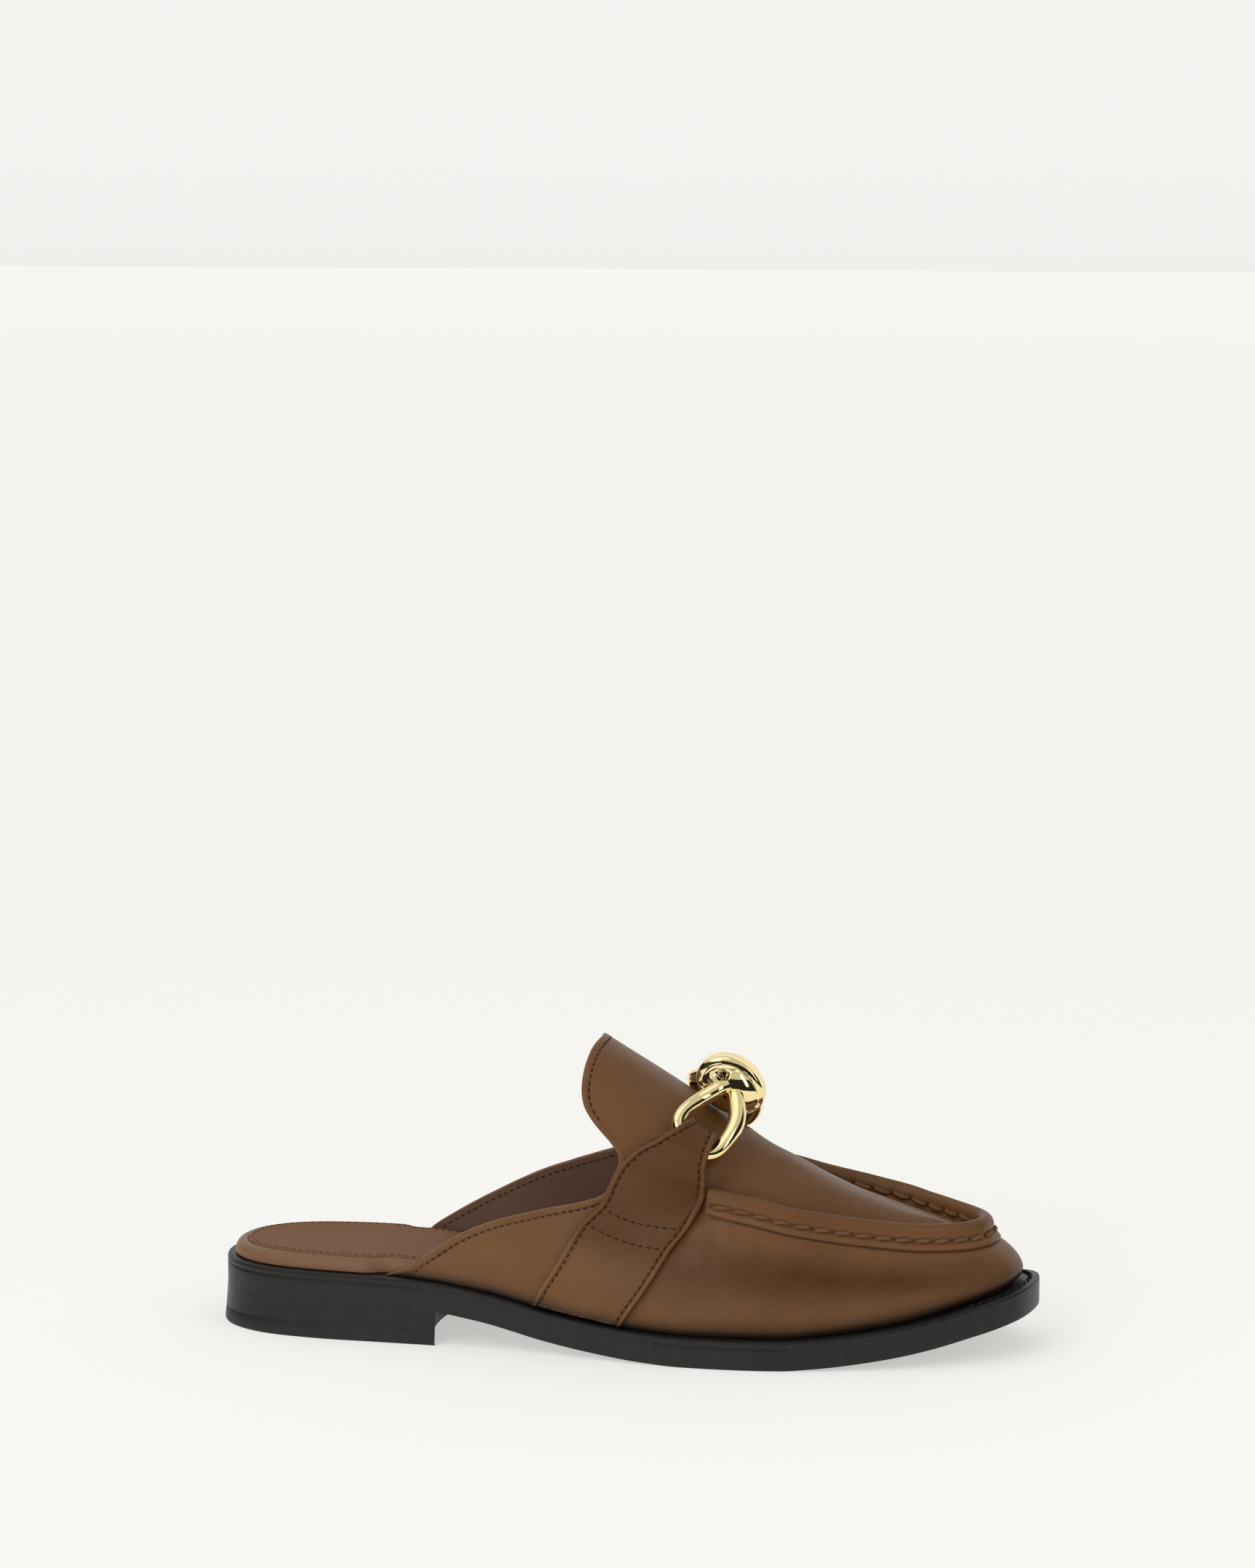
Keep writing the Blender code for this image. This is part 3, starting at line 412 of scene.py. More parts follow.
class Quads:
    """Vertices and faces of one mesh, gathered grid by grid, with a shade and a tint painted on each."""

    def __init__(self):
        self.vertices, self.faces, self.materials, self.paint = [], [], [], []

    def add_points(self, points, shade=0.0, tint=0.35):
        start = len(self.vertices)
        points = np.asarray(points, float)
        size = points.shape[:-1]
        self.vertices.extend((points + SHIFT).reshape(-1, 3))
        self.paint.extend(zip(*[np.broadcast_to(v, size).reshape(-1) for v in (shade, tint)]))
        return start

    def add_face(self, face, material=0):
        face = list(dict.fromkeys(face))
        if len(face) > 2:
            self.faces.append(face)
            self.materials.append(material)

    def grid(self, points, material=0, shade=0.0, tint=0.35, wrap_rows=False, wrap_columns=False, flip=False):
        """Quads over points[row][column], joined round where asked."""
        points = np.asarray(points, float)
        rows, columns = points.shape[:2]
        start = self.add_points(points, shade, tint)
        for r in range(rows if wrap_rows else rows - 1):
            row, next_row = start + r * columns, start + ((r + 1) % rows) * columns
            for c in range(columns if wrap_columns else columns - 1):
                after = (c + 1) % columns
                a, b, d, e = row + c, row + after, next_row + c, next_row + after
                self.add_face((a, d, e, b) if flip else (a, b, e, d), material)
        return start

    def build(self, name, materials, smooth_angle=40, weld=2e-6):
        shape = bmesh.new()
        layers = [shape.verts.layers.float.new(layer) for layer in ("shade", "tint")]
        made = [shape.verts.new(Vector(point)) for point in self.vertices]
        for vert, paint in zip(made, self.paint):
            vert[layers[0]], vert[layers[1]] = float(paint[0]), float(paint[1])
        for face, material in zip(self.faces, self.materials):
            made_face = shape.faces.new([made[k] for k in face])
            made_face.material_index = material
            made_face.smooth = True
        bmesh.ops.remove_doubles(shape, verts=shape.verts, dist=weld)
        bmesh.ops.dissolve_degenerate(shape, edges=shape.edges, dist=1e-7)
        bmesh.ops.recalc_face_normals(shape, faces=shape.faces)
        limit = math.radians(smooth_angle)
        for edge in shape.edges:
            edge.smooth = len(edge.link_faces) == 2 and edge.calc_face_angle(0) < limit
        made_object = from_shape(name, shape)
        for material in materials:
            made_object.data.materials.append(material)
        return made_object


def place(made_object, node=None, slot=None):
    """The piece rides on the shoe, and stands for a solid where one is named."""
    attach(made_object, "root")
    if node:
        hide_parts(node)
    return made_object


def tube_points(path, radius, sides, start_axis=None):
    """Rings of points round a path; the radius may change along it."""
    path = np.asarray(path, float)
    tangent = unit(np.gradient(path, axis=0))
    radius = np.broadcast_to(np.asarray(radius, float), (len(path),))
    axis = np.array([0.0, 0.0, 1.0]) if start_axis is None else np.asarray(start_axis, float)
    if abs(unit(axis) @ tangent[0]) > 0.9:
        axis = np.array([0.0, 1.0, 0.0])
    rings = []
    angles = np.arange(sides) * 2 * math.pi / sides
    for k, point in enumerate(path):
        axis = unit(axis - tangent[k] * (axis @ tangent[k]))
        other = np.cross(tangent[k], axis)
        rings.append(point + radius[k] * (np.cos(angles)[:, None] * axis + np.sin(angles)[:, None] * other))
    return np.array(rings)


def add_tube(quads, path, radius, sides=8, material=0, shade=0.0):
    rings = tube_points(path, radius, sides)
    start = quads.grid(rings, material, shade, wrap_columns=True)
    last = start + (len(rings) - 1) * sides
    quads.add_face([start + k for k in reversed(range(sides))], material)
    quads.add_face([last + k for k in range(sides)], material)


def add_stitches(quads, path, normals, pitch, thread, share=0.72, lift=0.25, slant=0.0, bow=0.5, sides=6):
    """Thread along a path on a surface: each stitch bows up from one hole and goes down the next."""
    path, normals = np.asarray(path, float), np.asarray(normals, float)
    travel = travelled(path)
    count = max(1, int(travel[-1] / pitch))
    step = travel[-1] / count
    shape = np.array([0.0, 0.12, 0.3, 0.5, 0.7, 0.88, 1.0])
    rise = np.array([-1.2, -0.2, 0.35, bow, 0.35, -0.2, -1.2]) + lift
    swell = np.array([0.55, 0.85, 1.0, 1.0, 1.0, 0.85, 0.55])
    for k in range(count):
        at = (k + 0.5 - share / 2 + share * shape) * step
        point, normal = at_distance(at, travel, path), unit(at_distance(at, travel, normals))
        aside = unit(np.cross(normal, np.gradient(point, axis=0)))
        point = point + normal * (rise * thread)[:, None] + aside * ((shape - 0.5) * slant)[:, None]
        add_tube(quads, point, thread * swell, sides)


def beside(path, normals, offset):
    """The path moved sideways over its surface."""
    path = np.asarray(path, float)
    tangent = unit(np.gradient(path, axis=0))
    return path + unit(np.cross(normals, tangent)) * offset


class Value:
    """An output in a material's nodes that can be added, scaled and compared like a number."""

    def __init__(self, nodes, socket):
        self.nodes, self.socket = nodes, socket

    def combine(self, operation, first, second):
        wide = any(isinstance(v, Value) and v.socket.type in ("RGBA", "VECTOR") for v in (first, second))
        kind = "ShaderNodeVectorMath" if wide else "ShaderNodeMath"
        if wide:
            first, second = [(v,) * 3 if isinstance(v, (int, float)) else v for v in (first, second)]
        return self.nodes.add(kind, {"operation": operation}, {0: first, 1: second})

    def __add__(self, other):
        return self.combine("ADD", self, other)

    def __radd__(self, other):
        return self.combine("ADD", other, self)

    def __sub__(self, other):
        return self.combine("SUBTRACT", self, other)

    def __rsub__(self, other):
        return self.combine("SUBTRACT", other, self)

    def __mul__(self, other):
        return self.combine("MULTIPLY", self, other)

    def __rmul__(self, other):
        return self.combine("MULTIPLY", other, self)

    def __truediv__(self, other):
        return self.combine("DIVIDE", self, other)

    def __rtruediv__(self, other):
        return self.combine("DIVIDE", other, self)

    def __pow__(self, other):
        return self.combine("POWER", self, other)

    def __rpow__(self, other):
        return self.combine("POWER", other, self)


class Finish:
    """A material built from nodes, with one shader at its end."""

    def __init__(self, name):
        self.material = bpy.data.materials.new(name)
        self.material.use_nodes = True
        self.tree = self.material.node_tree
        self.tree.nodes.clear()

    def add(self, kind, settings=None, inputs=None, output=0):
        node = self.tree.nodes.new(kind)
        for name, value in (settings or {}).items():
            setattr(node, name, value)
        for name, value in (inputs or {}).items():
            if isinstance(value, Value):
                self.tree.links.new(value.socket, node.inputs[name])
            else:
                node.inputs[name].default_value = value
        return Value(self, node.outputs[output]) if len(node.outputs) else node

    def place(self):
        return self.add("ShaderNodeTexCoord", output="Object")

    def noise(self, scale, detail=3.0, stretch=(1, 1, 1), roughness=0.5):
        spot = self.add("ShaderNodeMapping", {}, {"Vector": self.place(), "Scale": stretch})
        return self.add("ShaderNodeTexNoise", {}, {"Vector": spot, "Scale": scale, "Detail": detail,
                                                   "Roughness": roughness})

    def painted(self, name):
        return self.add("ShaderNodeAttribute", {"attribute_name": name}, output="Fac")

    def between(self, value, low, high, start=0.0, end=1.0):
        return self.add("ShaderNodeMapRange", {}, {"Value": value, "From Min": low, "From Max": high,
                                                   "To Min": start, "To Max": end})

    def mix(self, factor, first, second, blend="MIX"):
        return self.add("ShaderNodeMix", {"data_type": "RGBA", "blend_type": blend},
                        {0: factor, 6: first, 7: second}, output=2)

    def bump(self, height, strength, distance, normal=None):
        inputs = {"Height": height, "Strength": strength, "Distance": distance}
        if normal:
            inputs["Normal"] = normal
        return self.add("ShaderNodeBump", {}, inputs)

    def shade(self, **inputs):
        names = {name.replace("_", " ").title(): value for name, value in inputs.items()}
        names = {name.replace("Ior", "IOR"): value for name, value in names.items()}
        return self.finish(self.add("ShaderNodeBsdfPrincipled", {}, names))

    def finish(self, shader):
        self.add("ShaderNodeOutputMaterial", {}, {"Surface": shader})
        return self.material


def colour(value):
    return (*value, 1.0)


def leather(name, light, deep, burnish_and_shade, grain, gloss, polish=0.10):
    """Smooth calf: two tones clouded together over the painted tint, which carries painted light and shade on
    the vamp and straps; darker where burnished and where shade is painted, with fine pores.
    """
    made = Finish(name)
    cloud = made.noise(26.0, 3.0, (1, 1, 1.6))
    fibre = made.noise(420.0, 2.0, (1, 1, 1.5))
    tone = made.painted("tint") + (cloud - 0.5) * 0.7 + (fibre - 0.5) * 0.22
    base = made.mix(made.between(tone, 0.0, 1.0), colour(light), colour(deep))
    dark = made.painted("shade") + (made.noise(150.0, 2.0) - 0.5) * 0.10
    # Toward the burnish colour by the shade attribute: burnish at the foot of the upper, plus painted shade in
    # grooves, stitch holes and seams
    base = made.mix(made.between(dark, 0.03, 0.95), base, colour(burnish_and_shade))
    pores = made.add("ShaderNodeTexVoronoi", {"feature": "SMOOTH_F1"},
                     {"Vector": made.place(), "Scale": 1500.0, "Smoothness": 0.6})
    hide = pores * 0.55 + made.noise(900.0, 2.0) * 0.45
    relief = made.bump(hide, grain, 0.00012)
    relief = made.bump(made.noise(130.0, 2.0, (1, 1, 1.4)), grain * 0.8, 0.0005, relief)
    rough = gloss + (fibre - 0.5) * 0.10 + (cloud - 0.5) * 0.08
    return made.shade(base_color=base, roughness=rough, normal=relief, coat_weight=polish, coat_roughness=0.30,
                      specular_ior_level=1.8 * polish)


def satin_black(name, tone, gloss, streaks):
    """Inked and waxed sole edge, brushed up and down."""
    made = Finish(name)
    brushed = made.noise(60.0, 4.0, (14, 14, 0.8))
    cloud = made.noise(40.0, 3.0)
    base = made.mix(made.between(brushed, 0.3, 0.75), colour(tone), colour([c * 1.45 + 0.002 for c in tone]))
    relief = made.bump(brushed, streaks, 0.00012)
    rough = gloss + (cloud - 0.5) * 0.12 + (brushed - 0.5) * 0.12
    return made.shade(base_color=base, roughness=rough, normal=relief, specular_ior_level=0.32)


def polished_metal(name, tone):
    made = Finish(name)
    haze = made.noise(200.0, 3.0)
    base = made.mix(haze, colour(tone), colour([c * 0.95 for c in tone]))
    # Toward near black by the shade attribute: painted shade in the knot's grooves and painted dark reflection
    # in its hollows
    base = made.mix(made.painted("shade"), base, colour([c * 0.06 for c in tone]))
    wear = made.bump(made.noise(70.0, 2.0), 0.01, 0.0003)
    return made.shade(base_color=base, metallic=1.0, roughness=made.between(haze, 0.3, 0.7, 0.045, 0.085),
                      normal=wear)


def thread_finish(name, tone):
    made = Finish(name)
    strand = made.noise(700.0, 3.0, (1, 1, 0.6))
    base = made.mix(strand, colour([c * 0.75 for c in tone]), colour([c * 1.2 for c in tone]))
    return made.shade(base_color=base, roughness=made.between(strand, 0.2, 0.8, 0.6, 0.75),
                      normal=made.bump(strand, 0.5, 0.0002), specular_ior_level=0.15)


def thin_loop(where, inset, height):
    """Closed loop round the sole at places along the outline."""
    share = np.interp(where, INDEX, OUTLINE_LOOP[:, 0]) / LENGTH
    moved = inset(share) if callable(inset) else inset
    flat = around(where, np.broadcast_to(moved, np.shape(where)))
    return np.column_stack([flat, height(flat[:, 0])])


def raised(base, amount):
    return lambda x: base(x) + amount


def flat_at(amount):
    return lambda x: np.full(np.shape(x), amount)


def cover(quads, loop, height, low, high, dish=0.0, fractions=(0, 0.015, 0.05, 0.12, 0.3, 0.55, 0.8, 1)):
    """Closes a loop with quads that run in to its middle line."""
    x = np.clip(loop[:, 0], low, high)
    middle = (smooth(x / LENGTH, OUTLINE_ROWS, 2) - smooth(x / LENGTH, OUTLINE_ROWS, 1)) * BALL_WIDTH / 2
    centre = np.column_stack([x, middle])
    rows = []
    for part in fractions:
        flat = loop[:, :2] * (1 - part) + centre * part
        rows.append(np.column_stack([flat, height(flat[:, 0]) - dish * part * (2 - part)]))
    quads.grid(rows, wrap_columns=True)


ALL_ROUND = np.arange(0, len(OUTLINE), 2)
HEEL_SIDE = 130
HEEL_ROUND = np.concatenate([
    np.linspace(0, outline_index(HEEL_BREAST, -1), HEEL_SIDE),
    np.linspace(outline_index(HEEL_BREAST, 1), len(OUTLINE), HEEL_SIDE)[:-1],
])
# Ends of the middle line that the flat faces run in to, in metres from the heel
MIDDLE_FROM, MIDDLE_TO, HEEL_MIDDLE = 0.030, 0.230, 0.066


def heel_loop(inset, height):
    """Closed loop round the heel, its front hollowed toward the heel back."""
    loop = thin_loop(HEEL_ROUND, inset, height)
    t = np.linspace(0, 1, 34)[1:-1]
    front = loop[HEEL_SIDE - 1] + (loop[HEEL_SIDE] - loop[HEEL_SIDE - 1]) * t[:, None]
    front[:, 0] -= BREAST_HOLLOW * 4 * t * (1 - t)
    front[:, 2] = height(front[:, 0])
    return np.vstack([loop[:HEEL_SIDE], front, loop[HEEL_SIDE:]])


def square_at_heel(inset):
    """Inset of a rounded corner that runs out where the heel is stacked against it."""
    return lambda share: inset * ramp(share, HEEL_BREAST, HEEL_BREAST + 0.008)


def halfway(low):
    return lambda x: 0.5 * (low + underside(x))


def outsole_mesh(black):
    quads = Quads()
    seam = SOLE_EDGE - WELT_THICKNESS - 0.00004
    rows = [(0.0006, 0.0), (0.0003, 0.00008), (0.00008, 0.0003), (0.0, 0.0006), (0.0, 0.0020),
            (0.0, 0.0038), (0.0, 0.0056), (0.0, seam - 0.00006),
            (0.00005, seam), (WELT_WIDTH + GAP, seam), (WELT_WIDTH + GAP, SOLE_EDGE)]
    loops = [thin_loop(ALL_ROUND, square_at_heel(inset) if up < seam else inset, raised(underside, up))
             for inset, up in rows]
    quads.grid(loops, wrap_columns=True)
    cover(quads, loops[0], underside, MIDDLE_FROM, MIDDLE_TO)
    cover(quads, loops[-1], sole_top, MIDDLE_FROM, MIDDLE_TO, fractions=(0, 0.5, 1))
    return quads.build("outsole_body", [black])


def welt_mesh(black):
    quads = Quads()
    low = SOLE_EDGE - WELT_THICKNESS
    rows = [(0.00005, low), (0.0, low + 0.00006), (0.0, SOLE_EDGE - 0.0009),
            (0.00022, SOLE_EDGE - 0.00034), (0.0009, SOLE_EDGE), (0.0022, SOLE_EDGE), (WELT_WIDTH, SOLE_EDGE),
            (WELT_WIDTH, low)]
    loops = [thin_loop(ALL_ROUND, inset, raised(underside, up)) for inset, up in rows]
    quads.grid(loops, wrap_columns=True, wrap_rows=True)
    return quads.build("welt_strip", [black])


def welt_stitches(thread, pitch, radius):
    """Sole stitching on the welt, where it shows round the toe."""
    where = np.linspace(outline_index(0.93, -1), outline_index(0.93, 1), 500)
    path = thin_loop(where, lambda share: feather_inset(share) * 0.52, raised(sole_top, 0.00005))
    quads = Quads()
    up = np.tile([0.0, 0.0, 1.0], (len(path), 1))
    add_stitches(quads, path, up, pitch, radius, share=0.62, lift=0.3, slant=0.0011)
    return quads.build("welt_stitching", [thread])


def heel_mesh(black):
    quads = Quads()
    low = LIFT_THICKNESS + 0.00005
    flare = -HEEL_FLARE * (1 - low / SEAT_HEIGHT)
    rows = [(flare + 0.00006, flat_at(low)), (flare, flat_at(low + 0.00008)),
            (flare * 0.5, halfway(low)), (0.0, raised(underside, -0.00001)),
            (0.0012, raised(underside, -0.00001))]
    loops = [heel_loop(inset, height) for inset, height in rows]
    quads.grid(loops, wrap_columns=True)
    cover(quads, loops[0], flat_at(low), MIDDLE_FROM, HEEL_MIDDLE, fractions=(0, 0.5, 1))
    return quads.build("heel_block", [black])


def lift_mesh(rubber):
    quads = Quads()
    top = LIFT_THICKNESS
    flare = -HEEL_FLARE * (1 - top / SEAT_HEIGHT)
    rows = [(-HEEL_FLARE + 0.0008, 0.0), (-HEEL_FLARE + 0.0003, 0.0001), (-HEEL_FLARE + 0.0001, 0.0004),
            (-HEEL_FLARE, 0.0009), (flare, top - 0.00008), (flare + 0.00006, top)]
    loops = [heel_loop(inset, flat_at(up)) for inset, up in rows]
    quads.grid(loops, wrap_columns=True)
    cover(quads, loops[0], flat_at(0.0), MIDDLE_FROM, HEEL_MIDDLE)
    cover(quads, loops[-1], flat_at(top), MIDDLE_FROM, HEEL_MIDDLE, fractions=(0, 0.5, 1))
    return quads.build("heel_lift", [rubber])


def footbed_inset(share):
    blend = ramp(share, 0.196, 0.219)
    return FOOTBED_RIM * (1 - blend) + (feather_inset(share) + WALL + 3 * GAP) * blend


def inside_footbed(amount):
    return lambda share: footbed_inset(share) + amount


def footbed_mesh(covering):
    """Cushioned bed with a rounded shoulder that shows behind the upper."""
    quads = Quads()
    rows = [(0.0006, 0.0001), (0.0001, 0.0004)]
    for step in range(9):
        turn = math.radians(90 * step / 8)
        rows.append((0.0027 * (1 - math.cos(turn)), 0.0011 + 0.0033 * math.sin(turn)))
    rows += [(0.0036, 0.0045), (0.0039, 0.00445), (0.0041, 0.0041), (0.0062, FOOTBED_TOP)]
    loops = [thin_loop(ALL_ROUND, inside_footbed(inset), raised(sole_top, up)) for inset, up in rows]
    quads.grid(loops, wrap_columns=True)
    return quads.build("footbed_cushion", [covering])


def sock_mesh(covering):
    quads = Quads()
    rows = [(SOCK_MARGIN, FOOTBED_TOP), (SOCK_MARGIN, SOCK_TOP - 0.0005),
            (SOCK_MARGIN + 0.0001, SOCK_TOP - 0.0002), (SOCK_MARGIN + 0.0004, SOCK_TOP)]
    loops = [thin_loop(ALL_ROUND, inside_footbed(inset), raised(sole_top, up)) for inset, up in rows]
    quads.grid(loops, wrap_columns=True)
    cover(quads, loops[-1], raised(sole_top, SOCK_TOP), 0.034, 0.232, dish=0.0006,
          fractions=(0, 0.01, 0.03, 0.06, 0.1, 0.15, 0.22, 0.3, 0.4, 0.5, 0.6, 0.7, 0.8, 0.9, 1))
    return quads.build("sock_lining", [covering])


def sock_stitches(thread, pitch, radius):
    where = np.concatenate([np.linspace(outline_index(0.34, 1), len(OUTLINE), 400)[:-1],
                            np.linspace(0, outline_index(0.34, -1), 400)])
    path = thin_loop(where, inside_footbed(SOCK_MARGIN + 0.0013), raised(sole_top, SOCK_TOP - 0.00003))
    quads = Quads()
    add_stitches(quads, path, np.tile([0.0, 0.0, 1.0], (len(path), 1)), pitch, radius, share=0.68, lift=0.0)
    return quads.build("sock_stitching", [thread])


# Columns of the upper behind the front station, packed toward the edge, and in front of it, packed at the toe
BACK_PARTS = np.linspace(0, 1, 92)[:-1] ** 2
FRONT_PARTS = 1 - (1 - np.linspace(0, 1, 176)) ** 2
RIB_SHARES = np.concatenate([
    np.linspace(0, 1, 31)[:-1], np.linspace(1, 2, 41)[:-1], 2 + np.linspace(0, 1, 37) ** 1.4,
])
# Soft folds: two ends as station, share and side, width and depth in metres
FOLDS = (
    (0.628, 2.10, -1, 0.676, 2.22, -1, 0.0018, 0.00022), (0.640, 2.06, -1, 0.664, 2.10, -1, 0.0011, 0.00020),
    (0.622, 2.20, -1, 0.652, 2.36, -1, 0.0024, 0.00022), (0.655, 2.35, -1, 0.690, 2.70, -1, 0.0040, 0.00022),
    (0.690, 2.30, 1, 0.640, 2.80, 1, 0.0040, 0.00022), (0.625, 2.12, 1, 0.690, 2.20, 1, 0.0022, 0.00025),
    (0.600, 0.74, -1, 0.690, 0.66, -1, 0.0045, 0.00030), (0.700, 0.86, -1, 0.790, 0.80, -1, 0.0040, 0.00022),
    (0.620, 0.40, -1, 0.740, 0.50, -1, 0.0060, 0.00030), (0.600, 0.70, 1, 0.700, 0.62, 1, 0.0050, 0.00030),
    (0.300, 0.16, -1, 0.400, 0.34, -1, 0.0060, 0.00035), (0.330, 0.10, -1, 0.405, 0.12, -1, 0.0050, 0.00030),
    (0.300, 0.14, 1, 0.420, 0.36, 1, 0.0060, 0.00035), (0.500, 2.40, -1, 0.560, 2.30, -1, 0.0045, 0.00030),
    (0.460, 2.62, -1, 0.530, 2.55, -1, 0.0050, 0.00025), (0.480, 2.45, 1, 0.560, 2.35, 1, 0.0045, 0.00030),
)


def upper_sheet(back, front, shares, depth):
    sides = []
    for side in (-1, 1):
        start = back_station(shares, side)[None, :]
        behind = start + (FRONT_STATION - start) * back[:, None]
        ahead = FRONT_STATION + (1 - FRONT_STATION) * np.repeat(front[:, None], len(shares), axis=1)
        x = np.vstack([behind, ahead])
        sides.append((x, skin(x, np.broadcast_to(shares, x.shape), side, depth)))
    x = np.hstack([sides[0][0], sides[1][0][:, -2::-1]])
    return x, np.concatenate([sides[0][1], sides[1][1][:, -2::-1]], axis=1)


def near(points, anchors):
    """Distance from each point to the closest anchor."""
    tree = KDTree(len(anchors))
    for k, anchor in enumerate(anchors):
        tree.insert(anchor, k)
    tree.balance()
    flat = points.reshape(-1, 3)
    return np.array([tree.find(point)[2] for point in flat]).reshape(points.shape[:-1])


def apron_line(share, start=0.6225, count=1500):
    """Path at one share of the seam, from the outer side round the toe to the inner side, with its normals."""
    t = np.linspace(0, 1, count // 2)
    x = 1 - (1 - start) * (1 - t) ** 2
    outer, inner = skin(x, np.full_like(x, share), -1), skin(x, np.full_like(x, share), 1)
    steps = np.vstack([outer, inner[-2::-1]])
    path = resample(steps, count=count)
    x_path = np.clip(x, 0, 0.9985)
    normals = np.vstack([skin_normal(x_path, share, -1), skin_normal(x_path, share, 1)[-2::-1]])
    travel = travelled(steps)
    return path, unit(at_distance(np.linspace(0, travel[-1], count), travel, normals))


def stitch_holes(path, pitch):
    """Points where the thread goes through the leather."""
    return resample(path, count=max(1, int(travelled(path)[-1] / pitch)) + 1)


def edge_line(side, low, high, offset, depth=0.0, count=500):
    """Path beside the back edge of the upper, with normals away from the wall."""
    share = np.linspace(low, high, count)
    x = back_station(share, side)
    path = skin(x, share, side, depth)
    normals = skin_normal(x + 0.004, share, side)
    return beside(path, normals, side * offset), normals if depth == 0 else -normals


def upper_mesh(hide, lining, pitch):
    """The whole upper with its rolled edge, raised seam, puckers and soft folds, and the lining inside."""
    x, outer = upper_sheet(BACK_PARTS, FRONT_PARTS, RIB_SHARES, 0.0)
    share = np.concatenate([RIB_SHARES, RIB_SHARES[-2::-1]])[None, :] * np.ones((len(x), 1))
    side = np.concatenate([-np.ones(len(RIB_SHARES)), np.ones(len(RIB_SHARES) - 1)])[None, :]
    along, up = np.gradient(outer, axis=0), np.gradient(outer, axis=1)
    normal = unit(np.cross(along, up))
    if normal[100, 10, 1] > 0:
        normal = -normal
    open_toe = 1 - ramp(x, 0.9985, 1.0)
    edge = np.concatenate([skin(back_station(RIB_SHARES, s), RIB_SHARES, s) for s in (-1, 1)])
    from_edge = near(outer, resample(edge[:len(RIB_SHARES)], 0.0004))
    from_edge = np.minimum(from_edge, near(outer, resample(edge[len(RIB_SHARES):], 0.0004)))
    move = 0.00016 * np.exp(-((from_edge - 0.0008) / 0.0006) ** 2)
    move -= 0.00018 * np.exp(-((from_edge - 0.0018) / 0.0004) ** 2)
    # Painted shade in the groove that runs beside the rolled back edge
    shade = 0.18 * np.exp(-((from_edge - 0.0019) / 0.0005) ** 2)
    foot = outer[:, [0], 2] * (side < 0) + outer[:, [-1], 2] * (side > 0)
    rise = np.where(share <= 1.0, outer[..., 2] - foot, 1.0)
    # Darker toward the foot of the wall: burnish, and painted shade where the wall turns under into its join
    # with the welt
    shade = shade + 1.05 * np.exp(-(np.maximum(rise, 0) / (0.0015 + 0.0021 * ramp(x, 0.42, 0.66))) ** 1.4)
    for line, deep in zip(STITCH_LINES, (0.00030, 0.00034)):
        path, _ = apron_line(line)
        hole = near(outer, stitch_holes(path, pitch))
        move -= deep * np.exp(-(hole / 0.0012) ** 2)
        # Painted shade in each stitch hole and along the groove of the stitch row
        shade = shade + 0.70 * np.exp(-(hole / 0.0007) ** 2)
        groove = near(outer, path[::3])
        shade = shade + 0.16 * np.exp(-(groove / 0.0008) ** 2)
    under, _ = apron_line(1.0)
    # Painted shade along the foot of the raised seam, where the bead stands on the vamp
    shade = shade + 0.55 * np.exp(-(near(outer, under[::3]) / 0.0006) ** 2)
    for x0, s0, side0, x1, s1, side1, width, deep in FOLDS:
        ends = np.linspace(0, 1, 24)
        line = skin(x0 + (x1 - x0) * ends, s0 + (s1 - s0) * ends, side0)
        away = near(outer, line)
        same = np.where(side * side0 > 0, 1.0, 0.0)
        swell, dip = np.exp(-((away - 1.6 * width) / width) ** 2), np.exp(-(away / width) ** 2)
        move = move + same * deep * (0.7 * swell - dip)
    # Deeper tone along the middle of the vamp wall, lighter toward its foot: partly the leather's own tone,
    # partly painted shade and painted light
    belly = np.exp(-((share - 0.60) / 0.27) ** 2) * ramp(x, 0.50, 0.64) * (1 - ramp(x, 0.93, 1.0))
    tint = 0.26 + 0.62 * belly + 0.25 * np.exp(-((share - 1.55) / 0.2) ** 2)
    tint = tint + 0.22 * (share > 2) * ramp(x, 0.5, 0.8)
    outer = outer + normal * (move * open_toe)[..., None]
    quads = Quads()
    quads.grid(outer, 0, shade, tint=tint)
    inner_back, inner_front = BACK_PARTS[::3], FRONT_PARTS[::5]
    _, inside = upper_sheet(inner_back, inner_front, RIB_SHARES, WALL)
    quads.grid(inside, 1, 0.0, flip=True)
    ahead = unit(outer[1] - outer[0])
    rim = []
    for step in range(7):
        turn = math.pi * step / 6
        blend = (1 - math.cos(turn)) / 2
        rim.append(outer[0] * (1 - blend) + inside[0] * blend - ahead * math.sin(turn) * 0.45 * WALL)
    quads.grid(rim, 0, 0.0, tint=0.1)
    return quads.build("upper_leather", [hide, lining], smooth_angle=70)


def apron_stitches(thread, pitch, radius):
    """Thick hand stitches on both flanks of the raised seam."""
    quads = Quads()
    for share, slant in zip(STITCH_LINES, (0.0007, -0.0007)):
        path, normals = apron_line(share)
        add_stitches(quads, path, normals, pitch, radius, share=0.84, lift=0.25, slant=slant, bow=0.5, sides=8)
    return quads.build("apron_stitching", [thread], smooth_angle=80)


def edge_stitches(thread, pitch, radius):
    """Fine rows along the topline and the tongue, outside and inside."""
    quads = Quads()
    for side in (-1, 1):
        for low, high in ((0.02, 2.02), (2.17, 3.0)):
            for depth in (0.0, WALL):
                path, normals = edge_line(side, low, high, EDGE_ROW, depth)
                add_stitches(quads, path, normals, pitch, radius, share=0.66, lift=-0.25 if depth == 0 else 0.3)
    return quads.build("edge_stitching", [thread])


